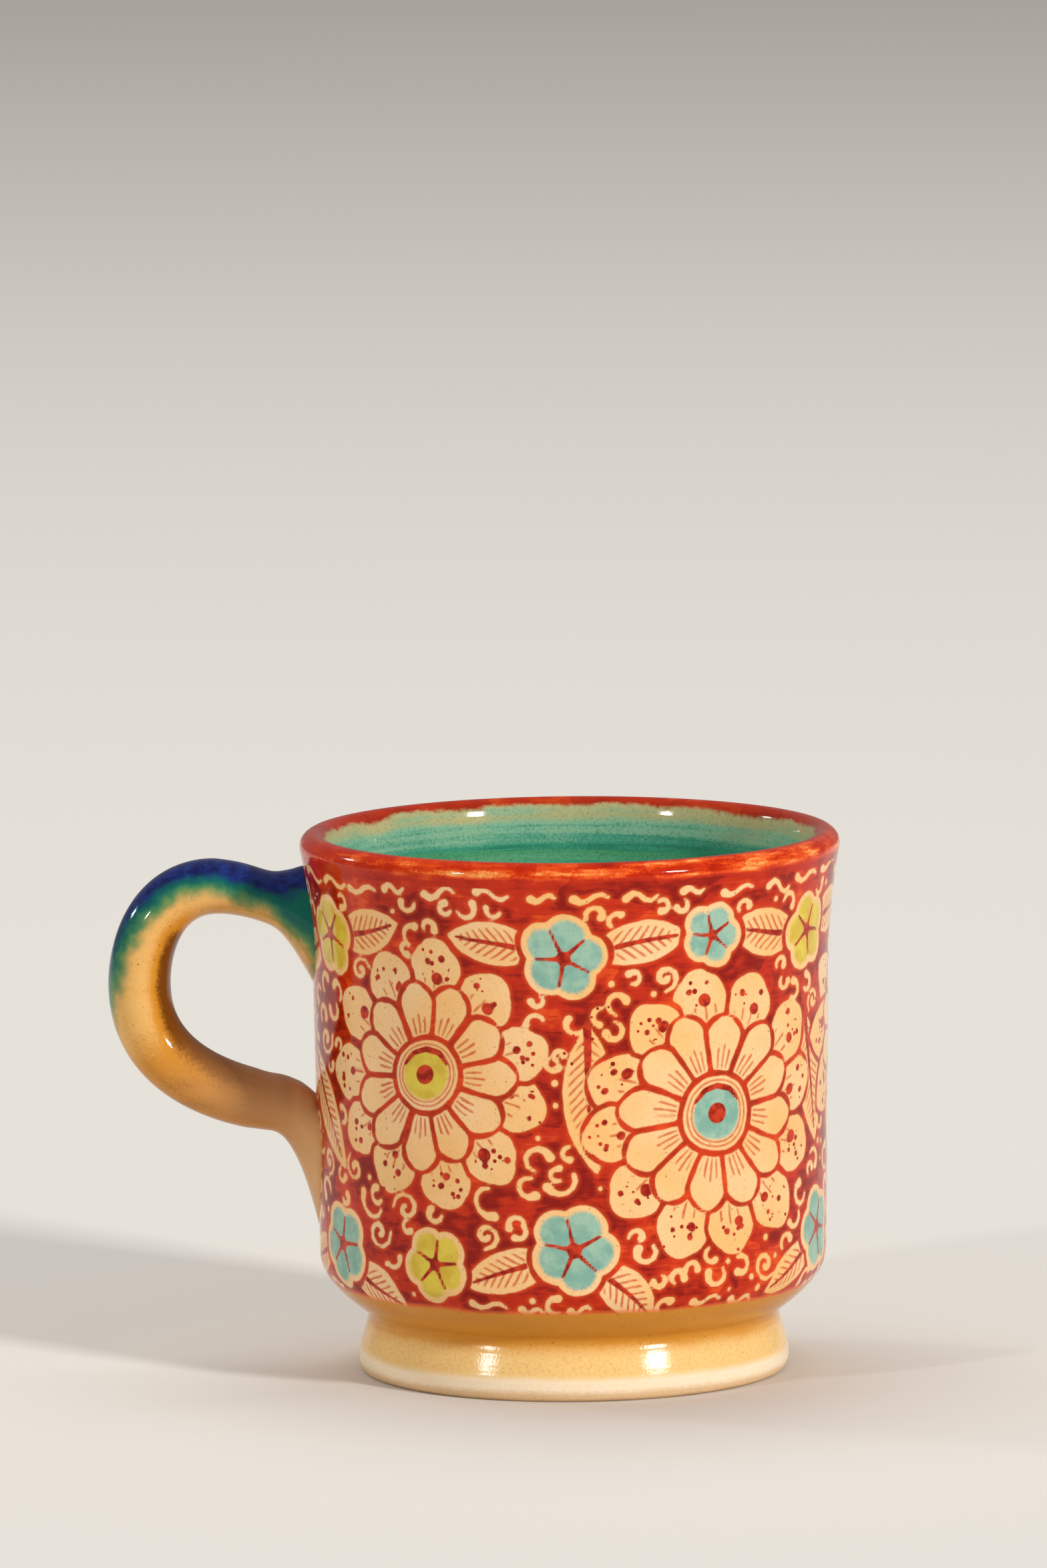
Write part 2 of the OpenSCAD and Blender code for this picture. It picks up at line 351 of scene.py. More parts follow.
class Graph:
    """A material's node graph."""

    MIRROR_LEVEL = 0.2

    def __init__(self, name: str) -> None:
        """Starts an empty material.

        Args:
            name: The material's name.
        """
        self.material = bpy.data.materials.new(name)
        self.material.use_nodes = True
        self.tree = self.material.node_tree
        self.tree.nodes.clear()
        self.place = self.node("ShaderNodeTexCoord").outputs["Object"]

    def node(self, kind: str, settings: dict[str, Any] | None = None,
             inputs: dict[str | int, Any] | None = None) -> bpy.types.Node:
        """Adds any node.

        Args:
            kind: The node's type.
            settings: Its properties, set first.
            inputs: Its sockets' values or links, by name or number.

        Returns:
            The node.
        """
        made = self.tree.nodes.new(kind)
        for name, setting in (settings or {}).items():
            setattr(made, name, setting)
        for key, given in (inputs or {}).items():
            if isinstance(given, Value):
                given = given.socket
            if isinstance(given, bpy.types.NodeSocket):
                self.tree.links.new(given, made.inputs[key])
            elif isinstance(given, tuple) and len(given) == 3 and made.inputs[key].type == "RGBA":
                made.inputs[key].default_value = (*given, 1.0)
            else:
                made.inputs[key].default_value = given
        return made

    def attribute(self, name: str) -> Value:
        """A number that the mesh holds at each vertex."""
        node = self.node("ShaderNodeAttribute", {"attribute_name": name})
        return Value(self, node.outputs["Fac"])

    def stretched(self, stretch: tuple[float, float, float], shift: float = 0.0) -> bpy.types.NodeSocket:
        """Object coordinates, scaled along each axis and shifted along X."""
        inputs = {"Vector": self.place, "Scale": stretch, "Location": (shift, 0.0, 0.0)}
        return self.node("ShaderNodeMapping", None, inputs).outputs[0]

    def noise(self, size: float, detail: float = 2.0, rough: float = 0.5, shift: float = 0.0,
              stretch: tuple[float, float, float] = (1, 1, 1)) -> Value:
        """Smooth noise about 0.5.

        Args:
            size: The size of its patches, in millimetres.
            detail: Octaves of finer noise.
            rough: Strength of each finer octave.
            shift: Metres by which the pattern is moved, so that two noises differ.
            stretch: Scale along each axis.

        Returns:
            The noise.
        """
        inputs = {
            "Vector": self.stretched(stretch, shift),
            "Scale": 1 / (size * MM),
            "Detail": detail,
            "Roughness": rough,
        }
        return Value(self, self.node("ShaderNodeTexNoise", None, inputs).outputs["Fac"])

    def specks(self, cell: float, share: "Value | float", radius: float = 0.15) -> Value:
        """Round specks of varied sizes.

        Args:
            cell: The room that each speck has, in millimetres.
            share: How many of them show, from 0 to 1.
            radius: A speck's radius as a share of its cell.

        Returns:
            A mask that is 1 on the specks.
        """
        cells = self.node("ShaderNodeTexVoronoi", None, {"Vector": self.place, "Scale": 1 / (cell * MM)})
        luck = self.node("ShaderNodeSeparateColor", None, {0: cells.outputs["Color"]})
        reach = Value(self, luck.outputs[1]) * radius + radius * 0.7 - Value(self, cells.outputs["Distance"])
        return reach.rise(-0.03, 0.05) * (share - Value(self, luck.outputs[0])).rise(0.0, 0.02)

    def blend(self, factor: Value | float, a: Value | Colour, b: Value | Colour) -> Value:
        """A colour that goes from a to b as the factor goes from 0 to 1."""
        settings = {"data_type": "RGBA", "blend_type": "MIX", "clamp_factor": True}
        return Value(self, self.node("ShaderNodeMix", settings, {0: factor, 6: a, 7: b}).outputs[2])

    def layered(self, colour: Value | Colour, *layers: tuple[Value, Value | Colour]) -> Value:
        """A colour with others laid over it in turn.

        Args:
            colour: What lies lowest.
            layers: Each layer's mask, which is 1 where it covers, and its colour.

        Returns:
            The colour that shows.
        """
        for mask, over in layers:
            colour = self.blend(mask, colour, over)
        return colour

    def axis(self, name: str) -> Value:
        """One object coordinate, in millimetres."""
        parts = self.node("ShaderNodeSeparateXYZ", None, {0: self.place})
        return Value(self, parts.outputs[name]) * (1 / MM)

    def shade(self, colour: Value, roughness: Value, height: Value, depth: float) -> bpy.types.Material:
        """Ends the graph in a glazed surface.

        Args:
            colour: Base colour.
            roughness: How dull the glaze is.
            height: The surface's relief, from 0 to 1.
            depth: What a relief of 1 stands for, in millimetres.

        Returns:
            The material.
        """
        bump = self.node("ShaderNodeBump", None, {"Strength": 1.0, "Distance": depth * MM, "Height": height})
        inputs = {
            "Base Color": colour,
            "Roughness": roughness,
            "Normal": bump.outputs[0],
            "Specular IOR Level": self.MIRROR_LEVEL,
        }
        shader = self.node("ShaderNodeBsdfPrincipled", None, inputs)
        self.node("ShaderNodeOutputMaterial", None, {"Surface": shader.outputs[0]})
        return self.material


class Layer(Enum):
    """What the brush leaves on the wall. Each layer is an attribute of the wall's mesh."""

    CREAM = "paint_cream"
    DARK = "paint_dark"
    TURQUOISE = "paint_turquoise"
    YELLOW = "paint_yellow"
    HATCH = "paint_hatch"
    STIPPLE = "paint_stipple"


class Brushwork:
    """Signed distances from painted shapes on the unrolled wall, at the wall's vertices, in millimetres."""

    REACH = 4.0
    RULED_MARGIN = 0.7
    NEAREST = 0.8

    def __init__(self, u: np.ndarray, v: np.ndarray, girth: float) -> None:
        """Starts with bare ground, on which shapes waver a little, as a hand does.

        Args:
            u: Place round the wall in millimetres, 0 at the front and growing to the right.
            v: Height in millimetres.
            girth: Length once round the wall.
        """
        near_u = u + 0.30 * np.sin(v / 6.1 + 0.7) + 0.22 * np.sin(u / 4.3 + v / 3.9)
        near_v = v + 0.28 * np.sin(u / 5.7 + 1.9) + 0.20 * np.sin(u / 3.1 - v / 4.4)
        order = np.argsort(near_u)
        self.u = np.concatenate([near_u[order] + turn * girth for turn in (-1, 0, 1)])
        self.v = np.tile(near_v[order], 3)
        self.number = np.tile(order, 3)
        self.girth = girth
        self.fields = {layer: np.full(len(u), -self.REACH) for layer in Layer}
        self.phase = np.zeros(len(u))
        self.pitch = np.ones(len(u))

    def near(self, points: Iterable[Point], margin: float) -> tuple[np.ndarray, np.ndarray, np.ndarray]:
        """Vertices near some points.

        Args:
            points: The places.
            margin: How far from them a vertex may be.

        Returns:
            The vertices' numbers, and their places on the unrolled wall.
        """
        spread = np.array(list(points), float)
        low, high = spread.min(0) - margin, spread.max(0) + margin
        first, last = np.searchsorted(self.u, [low[0], high[0]])
        v = self.v[first:last]
        kept = np.nonzero((v > low[1]) & (v < high[1]))[0] + first
        return self.number[kept], self.u[kept], self.v[kept]

    def clear(self, chosen: np.ndarray, inside: np.ndarray, gap: float) -> None:
        """Clears a shape and a gap round it in every layer."""
        for field in self.fields.values():
            field[chosen] = np.minimum(field[chosen], -(inside + gap))

    def lay(self, layer: Layer, chosen: np.ndarray, inside: np.ndarray, gap: float = 0.0) -> None:
        """Adds a shape to a layer, first clearing a gap round it in every layer.

        Args:
            layer: What the brush holds.
            chosen: The vertices near the shape.
            inside: How deep each of them lies in the shape.
            gap: Ground left clear round it.
        """
        if gap > 0:
            self.clear(chosen, inside, gap)
        field = self.fields[layer]
        field[chosen] = np.maximum(field[chosen], inside)

    def in_stroke(self, points: Sequence[Point], widths: Sequence[float]) -> tuple[np.ndarray, ...]:
        """Vertices near a stroke through points whose width changes along it.

        Args:
            points: The stroke's places.
            widths: Its width at each of them.

        Returns:
            The vertices' numbers, and how deep each lies in the stroke.
        """
        chosen, u, v = self.near(points, max(widths) / 2 + self.REACH)
        inside = np.full(len(chosen), -self.REACH)
        for (a, b), (wa, wb) in zip(zip(points, points[1:]), zip(widths, widths[1:])):
            du, dv = b[0] - a[0], b[1] - a[1]
            t = np.clip(((u - a[0]) * du + (v - a[1]) * dv) / max(du * du + dv * dv, 1e-9), 0, 1)
            far = np.hypot(u - a[0] - t * du, v - a[1] - t * dv)
            inside = np.maximum(inside, (wa + (wb - wa) * t) / 2 - far)
        return chosen, inside

    def in_almond(self, root: Point, tip: Point, width: float) -> tuple[np.ndarray, ...]:
        """Vertices near a pointed leaf shape.

        Args:
            root: One end.
            tip: The other end.
            width: Its greatest width.

        Returns:
            The vertices' numbers, and how deep each lies in the shape.
        """
        length = math.dist(root, tip)
        radius = (length * length + width * width) / (4 * width)
        chosen, u, v = self.near([root, tip], width + self.REACH)
        cu, cv = (root[0] + tip[0]) / 2, (root[1] + tip[1]) / 2
        across = (-(tip[1] - root[1]) / length, (tip[0] - root[0]) / length)
        sides = []
        for sign in (1, -1):
            off = sign * (radius - width / 2)
            sides.append(radius - np.hypot(u - cu - off * across[0], v - cv - off * across[1]))
        return chosen, np.minimum(*sides)

    def stroke(self, layer: Layer, points: Sequence[Point], widths: Sequence[float],
               gap: float = 0.0) -> None:
        """Paints a stroke through points whose width changes along it."""
        self.lay(layer, *self.in_stroke(points, widths), gap)

    def almond(self, layer: Layer, root: Point, tip: Point, width: float, gap: float = 0.0) -> None:
        """Paints a pointed leaf shape between two points."""
        self.lay(layer, *self.in_almond(root, tip, width), gap)

    def spot(self, layer: Layer, at: Point, radius: float, gap: float = 0.0) -> None:
        """Paints a round spot."""
        chosen, u, v = self.near([at], radius + self.REACH)
        self.lay(layer, chosen, radius - np.hypot(u - at[0], v - at[1]), gap)

    def rule(self, chosen: np.ndarray, inside: np.ndarray, phase: np.ndarray, pitch: np.ndarray) -> None:
        """Rules fine lines over an area.

        Args:
            chosen: The vertices near the area.
            inside: How deep each of them lies in it.
            phase: A number that passes a half at each line.
            pitch: The distance between lines there.
        """
        self.fields[Layer.HATCH][chosen] = np.maximum(self.fields[Layer.HATCH][chosen], inside)
        close = inside > -self.RULED_MARGIN
        self.phase[chosen[close]] = phase[close]
        self.pitch[chosen[close]] = pitch[close]

    def depth(self, layer: Layer, at: Point) -> float:
        """How deep a place lies in a layer.

        Args:
            layer: The layer.
            at: The place.

        Returns:
            The depth, negative outside the layer's shapes and large where there is no wall.
        """
        chosen, u, v = self.near([at], self.NEAREST)
        if not len(chosen):
            return self.REACH
        return float(self.fields[layer][chosen[np.argmin((u - at[0]) ** 2 + (v - at[1]) ** 2)]])


def turned(at: Point, angle: float, reach: float, side: float = 0.0) -> Point:
    """A place some way off.

    Args:
        at: Where the way starts.
        angle: Its direction, in degrees.
        reach: Its length.
        side: How far to its left the place lies.

    Returns:
        The place.
    """
    a = math.radians(angle)
    return (
        at[0] + reach * math.cos(a) - side * math.sin(a),
        at[1] + reach * math.sin(a) + side * math.cos(a),
    )


@dataclass(frozen=True)
class PetalRound:
    """One round of a bloom's petals. Its reach, its root and its rays' ends are shares of the radius."""

    reach: float
    root: float
    offset: float
    fill: float
    rays: Point


@dataclass
class FloralPattern:
    """Blooms, rosettes, leaves and small fillers round the wall."""

    brush: Brushwork
    seed: int = 11
    gap: float = 1.0
    outer: PetalRound = PetalRound(1.0, 0.45, 0.0, 0.98, (0.62, 0.80))
    inner: PetalRound = PetalRound(0.68, 0.24, 0.5, 0.92, (0.30, 0.50))
    disc_share: float = 0.27
    core_share: float = 0.19
    pip_share: float = 0.075
    rays_per_petal: int = 5
    ray_fan_share: float = 0.16
    rosette_petals: int = 5
    rosette_edge: float = 0.9
    leaf_length: float = 15.5
    leaf_width: float = 7.2
    vein_pitch: float = 1.5
    vein_slope: float = 0.9
    curl_turn: float = 430.0
    curl_room: float = 2.4
    comma_room: float = 1.55

    def __post_init__(self) -> None:
        """Starts the hand's small irregularities from a fixed seed."""
        self.hand = random.Random(self.seed)

    def _about(self, value: float, share: float = 0.08) -> float:
        """A value as a hand would repeat it."""
        return value * (1 + self.hand.uniform(-share, share))

    def bloom(self, at: Point, radius: float, petals: int, colour: Layer, pointed: bool = False) -> None:
        """A large flower: two rounds of cream petals with fine lines and stippling round a coloured core.

        Args:
            at: Its middle.
            radius: Its outer radius.
            petals: Number of petals in a round.
            colour: The colour of its core.
            pointed: Whether its outer petals end in points.
        """
        start = self.hand.uniform(0, 360)
        for ring in (self.outer, self.inner):
            slim = ring.fill * math.sin(math.pi / petals)
            half = slim * radius * ring.reach / (1 + slim)
            for k in range(petals):
                angle = start + 360 * (k + ring.offset) / petals + self.hand.uniform(-2, 2)
                tip = self._about(radius * ring.reach, 0.045) - half
                self._petal(at, angle, (radius * ring.root, tip, half), ring is self.outer, pointed)
            self._rays(at, radius, start + 360 * ring.offset / petals, petals, ring.rays)
        disc, core = radius * self.disc_share, radius * self.core_share
        shadow = [turned(at, angle, radius * 0.2) for angle in (25, 57.5, 90, 122.5, 155)]
        self.brush.spot(Layer.CREAM, at, disc, self.gap)
        self._rings(at, disc - 0.25, core)
        self.brush.spot(colour, at, core)
        self.brush.stroke(Layer.DARK, shadow, [0.5, 0.95, 1.0, 0.8, 0.5])
        self.brush.spot(Layer.DARK, at, radius * self.pip_share)

    def _petal(self, at: Point, angle: float, sizes: tuple[float, float, float], outer: bool,
               pointed: bool) -> None:
        """One petal: its cream shape, its dark spots, and where it is stippled.

        Args:
            at: The bloom's middle.
            angle: The petal's direction, in degrees.
            sizes: How far out it starts and is widest, and half its width.
            outer: Whether it is in the outer round, whose petals are spotted.
            pointed: Whether an outer petal ends in a point.
        """
        root, tip, half = sizes
        if outer and pointed:
            ends = [turned(at, angle, root * 0.55), turned(at, angle, tip + half * 1.35)]
            self.brush.almond(Layer.CREAM, *ends, 2.2 * half, self.gap)
        else:
            ends = [turned(at, angle, root), turned(at, angle, tip)]
            self.brush.stroke(Layer.CREAM, ends, [half * 0.7, 2 * half], self.gap)
            self.brush.spot(Layer.CREAM, turned(at, angle, tip + half * 0.45), half * 0.68)
        if not outer:
            return
        crown = turned(at, angle, tip + half * 0.35)
        chosen, u, v = self.brush.near([crown], half)
        self.brush.lay(Layer.STIPPLE, chosen, half * 0.85 - np.hypot(u - crown[0], v - crown[1]))
        within = self.hand.uniform
        place = turned(at, angle, tip + half * within(-0.35, 0.05), half * within(-0.35, 0.35))
        self.brush.spot(Layer.DARK, place, within(0.65, 1.15))
        for side in (-1, 1):
            place = turned(at, angle, tip + half * within(0.2, 0.62), half * side * within(0.22, 0.5))
            self.brush.spot(Layer.DARK, place, within(0.4, 0.62))

    def _rays(self, at: Point, radius: float, start: float, petals: int, ends: Point) -> None:
        """Fine lines that fan out along a round of petals from their roots.

        Args:
            at: The bloom's middle.
            radius: Its outer radius.
            start: The direction of the round's first petal, in degrees.
            petals: Number of petals in the round.
            ends: Where the lines start and end, as shares of the radius.
        """
        chosen, u, v = self.brush.near([at], radius)
        r = np.hypot(u - at[0], v - at[1])
        turns = np.degrees(np.arctan2(v - at[1], u - at[0])) - start
        lines = petals * self.rays_per_petal
        low, high = ends
        across = abs((turns / 360 * petals + 0.5) % 1 - 0.5)
        fan = high - low - across * self.ray_fan_share
        inside = np.minimum(r - radius * low, radius * (low + fan) - r)
        inside = np.minimum(inside, self.brush.fields[Layer.CREAM][chosen] - 0.35)
        self.brush.rule(chosen, inside, turns / 360 * lines + 0.5, 2 * math.pi * r / lines)

    def _rings(self, at: Point, radius: float, inner: float) -> None:
        """Fine rings round a core.

        Args:
            at: Their middle.
            radius: Radius of the outermost.
            inner: Radius of the core.
        """
        chosen, u, v = self.brush.near([at], radius + 1)
        r = np.hypot(u - at[0], v - at[1])
        pitch = (radius - inner) / 2
        inside = np.minimum(radius - r, r - inner)
        self.brush.rule(chosen, inside, (r - inner) / pitch, np.full(len(r), pitch))

    def rosette(self, at: Point, radius: float, colour: Layer) -> None:
        """A small flower of round coloured petals, ringed in cream.

        Args:
            at: Its middle.
            radius: Its outer radius.
            colour: Its petals' colour.
        """
        start = self.hand.uniform(0, 360)
        step = 360 / self.rosette_petals
        petals = [turned(at, start + step * k, radius * 0.55) for k in range(self.rosette_petals)]
        cream_r = radius * 0.47 + self.rosette_edge
        for petal in [at] + petals:
            chosen, u, v = self.brush.near([petal], radius + self.brush.REACH)
            self.brush.clear(chosen, cream_r - np.hypot(u - petal[0], v - petal[1]), self.gap)
        for petal in [at] + petals:
            self.brush.spot(Layer.CREAM, petal, cream_r)
        for k, petal in enumerate(petals):
            self.brush.spot(colour, petal, self._about(radius * 0.44, 0.05))
            ray = [turned(at, start + step * (k + 0.5), radius * s) for s in (0.2, 0.5, 0.74)]
            self.brush.stroke(Layer.DARK, ray, [0.75, 0.55, 0.5])
        self.brush.spot(Layer.DARK, at, radius * 0.19)

    def leaf(self, root: Point, tip: Point, width: float) -> None:
        """An almond leaf with a midrib, fine side veins and a stippled root.

        Args:
            root: Where it grows from.
            tip: Its point.
            width: Its greatest width.
        """
        self.brush.almond(Layer.CREAM, root, tip, width, self.gap)
        length = math.dist(root, tip)
        angle = math.degrees(math.atan2(tip[1] - root[1], tip[0] - root[0]))
        a = math.radians(angle)
        veined = (root, turned(root, angle, length * 0.93))
        chosen, inside = self.brush.in_almond(*veined, width * 0.84)
        _, u, v = self.brush.near(veined, width * 0.84 + self.brush.REACH)
        along = (u - root[0]) * math.cos(a) + (v - root[1]) * math.sin(a)
        across = abs((v - root[1]) * math.cos(a) - (u - root[0]) * math.sin(a))
        slope = math.hypot(1, self.vein_slope)
        phase = (along - across * self.vein_slope) / self.vein_pitch
        self.brush.rule(chosen, inside - 0.1, phase, np.full(len(u), self.vein_pitch / slope))
        rib = [turned(root, angle, length * s) for s in (0.02, 0.5, 0.9)]
        self.brush.stroke(Layer.DARK, rib, [1.3, 0.75, 0.5])
        chosen, u, v = self.brush.near([root], length * 0.4)
        self.brush.lay(Layer.STIPPLE, chosen, length * 0.3 - np.hypot(u - root[0], v - root[1]))

    def comma(self, at: Point, size: float, angle: float, bow: float) -> None:
        """A tadpole stroke: a round head and a tail that bows to one side.

        Args:
            at: Its head.
            size: Its length.
            angle: The direction it leaves its head, in degrees.
            bow: How far it turns on its way, in degrees.
        """
        head = 0.9 + min(size, 7.0) * 0.10
        widths = [head, head * 0.72, 0.85, 0.8, 0.8, 0.75, 0.6]
        steps = len(widths) - 1
        points = [at]
        for k in range(steps):
            points.append(turned(points[-1], angle + bow * (k + 0.5) / steps, size / steps))
        self.brush.stroke(Layer.CREAM, points, widths)

    def curl(self, at: Point, radius: float, angle: float, side: int) -> None:
        """A stroke that winds in to a thick end.

        Args:
            at: Its middle.
            radius: Its outer radius.
            angle: Where its thin end lies, in degrees.
            side: 1 to wind to the left, -1 to the right.
        """
        shares = [k / 11 for k in range(12)]
        points = [turned(at, angle + side * self.curl_turn * s, radius * (1 - 0.86 * s)) for s in shares]
        self.brush.stroke(Layer.CREAM, points, [0.6 + 0.45 * s for s in shares])

    def fill_ground(self, low_v: float, high_v: float) -> None:
        """Scatters curls, commas and dots over what red ground is left, the large ones first.

        Args:
            low_v: Lowest height to fill.
            high_v: Greatest height to fill.
        """
        girth = self.brush.girth
        for pitch, tightest in ((5.0, 2.3), (3.6, 1.55), (2.8, 1.2)):
            for row in range(int((high_v - low_v) / pitch) + 1):
                for column in range(int(girth / pitch)):
                    u = (column + 0.5 * (row % 2)) * pitch - girth / 2 + self.hand.uniform(-1, 1)
                    at = (u, low_v + row * pitch + self.hand.uniform(-0.8, 0.8))
                    room = -self.brush.depth(Layer.CREAM, at)
                    if room > tightest:
                        self._filler(at, room)

    def _filler(self, at: Point, room: float) -> None:
        """One filler that suits its place.

        Args:
            at: Its middle.
            room: How much clear ground lies round it.
        """
        angle = self.hand.uniform(0, 360)
        if room > self.curl_room and self.hand.random() < 0.4:
            self.curl(at, min(room, 3.4) * 0.86, angle, self.hand.choice((-1, 1)))
        elif room > self.comma_room:
            room = min(room, 3.6)
            bow = self.hand.choice((-1, 1)) * self.hand.uniform(170, 260)
            head = turned(at, angle, -room * 0.5)
            self.comma(head, room * 2.3, angle - bow * 0.3, bow)
        else:
            self.brush.spot(Layer.CREAM, at, self._about(0.5, 0.2))

    def border(self, at_v: float, step: float) -> None:
        """A row of lying S strokes round the wall.

        Args:
            at_v: Its height.
            step: Distance between strokes.
        """
        girth = self.brush.girth
        count = round(girth / step)
        for k in range(count):
            u = (k + 0.5) * girth / count - girth / 2 + self.hand.uniform(-0.12, 0.12) * step
            v = at_v + self.hand.uniform(-0.6, 0.6)
            half = self.hand.choice((0.22, 0.32, 0.40)) * step
            rise = self.hand.choice((1, -1)) * self.hand.uniform(0.5, 0.95)
            lean = self.hand.uniform(-0.12, 0.12) * half
            wave = [
                (u + half * s, v + lean * s + rise * math.sin(math.pi * s))
                for s in (-1, -0.6, -0.2, 0.2, 0.6, 1)
            ]
            room = min(-self.brush.depth(Layer.CREAM, place) for place in wave)
            if room > 0.6:
                self.brush.stroke(Layer.CREAM, wave, [1.4, 0.95, 0.8, 0.8, 0.75, 0.6])

    def paint(self) -> None:
        """Paints the whole wall: leaves first, then what lies over them, then the fillers."""
        blue, yellow = Layer.TURQUOISE, Layer.YELLOW
        rosettes = [
            ((-1, 75.4), 6.3, blue, (171, 8)), ((0, 26.8), 6.6, blue, (200, 318)),
            ((-48, 75.6), 5.8, yellow, (12, 200)), ((-47, 24), 6.4, blue, (330, 195)),
            ((47, 75.8), 5.8, yellow, (172, 12)), ((53, 25), 6.4, blue, (205, 338)),
            ((-24, 23.0), 5.4, yellow, ()), ((24, 77.8), 4.8, blue, ()),
            ((91, 75.4), 5.8, blue, (168, 8)), ((90, 25), 6.0, yellow, (190, 345)),
            ((132, 75.2), 5.8, yellow, (168, 10)), ((133, 25), 6.0, blue, (200, 340)),
            ((-92, 76), 5.6, blue, (340, 168)), ((-91, 25), 6.0, yellow, (340, 195)),
            ((112, 76.4), 4.8, yellow, ()), ((-111, 27), 5.2, blue, ()),
        ]
        leaves = [((-60, 56), (-45, 37), 8), ((2, 64), (4, 39), 8.5), ((47, 62), (52, 40), 8.5)]
        blooms = [
            ((-25, 54.5), 21.8, 11, yellow), ((25, 48), 23.8, 12, blue), ((70, 57.5), 19.4, 10, yellow, True),
            ((112, 46.5), 20.8, 11, blue), ((-111, 56), 19.4, 10, yellow, True), ((-82, 49), 11.5, 8, blue),
        ]
        for at, radius, _, sides in rosettes:
            for angle in sides:
                root = turned(at, angle, radius * 0.6)
                tip = turned(root, angle, self._about(self.leaf_length))
                self.leaf(root, tip, self._about(self.leaf_width))
        for leaf in leaves:
            self.leaf(*leaf)
        for bloom in blooms:
            self.bloom(*bloom)
        for at, radius, colour, _ in rosettes:
            self.rosette(at, radius, colour)
        self.border(85.2, 8.2)
        self.border(16.4, 7.6)
        self.fill_ground(17.5, 83.2)


def finished(name: str, bm: bmesh.types.BMesh, sharp: float = 50.0) -> bpy.types.Object:
    """Turns a bmesh in millimetres into a smooth-shaded object in metres, at the origin.

    Args:
        name: The piece's name.
        bm: Its shape, which is freed.
        sharp: Angle in degrees above which an edge stays sharp.

    Returns:
        The object.
    """
    bmesh.ops.scale(bm, vec=(MM, MM, MM), verts=bm.verts)
    mesh = bpy.data.meshes.new(name)
    bm.to_mesh(mesh)
    bm.free()
    mesh.shade_smooth()
    mesh.set_sharp_from_angle(angle=math.radians(sharp))
    made = bpy.data.objects.new(name, mesh)
    bpy.context.scene.collection.objects.link(made)
    return made


def lathe(name: str, loop: Sequence[Point], steps: int) -> bpy.types.Object:
    """Spins a closed section round the mug's axis: one sector first, which is then repeated.

    Args:
        name: The piece's name.
        loop: The section's points in millimetres, in order round it.
        steps: Number of steps round the axis, a multiple of the number of sectors.

    Returns:
        The closed piece.
    """
    bm = bmesh.new()
    verts = [bm.verts.new((r, 0.0, z)) for r, z in loop]
    pairs = list(zip(verts, verts[1:] + verts[:1]))
    edges = [bm.edges.new(pair) for pair in pairs if pair[0].co.x > 0 or pair[1].co.x > 0]
    axis = {"cent": (0, 0, 0), "axis": (0, 0, 1)}
    sector = 2 * math.pi / SECTORS
    bmesh.ops.spin(bm, geom=verts + edges, angle=sector, steps=steps // SECTORS, **axis)
    first = [*bm.verts, *bm.edges, *bm.faces]
    bmesh.ops.spin(
        bm, geom=first, angle=2 * math.pi - sector, steps=SECTORS - 1, use_duplicate=True, **axis
    )
    bmesh.ops.remove_doubles(bm, verts=bm.verts, dist=1e-4)
    bmesh.ops.recalc_face_normals(bm, faces=bm.faces)
    return finished(name, bm)


def hold(piece: bpy.types.Object, name: str, values: np.ndarray) -> None:
    """Keeps a number for each vertex on the piece's mesh."""
    made = piece.data.attributes.new(name, "FLOAT", "POINT")
    made.data.foreach_set("value", values.astype(np.float32))


def places(piece: bpy.types.Object) -> np.ndarray:
    """Where a piece's vertices are.

    Args:
        piece: The piece.

    Returns:
        Their places in millimetres, one row each.
    """
    found = np.empty(len(piece.data.vertices) * 3, np.float32)
    piece.data.vertices.foreach_get("co", found)
    return found.reshape(-1, 3).astype(float) / MM


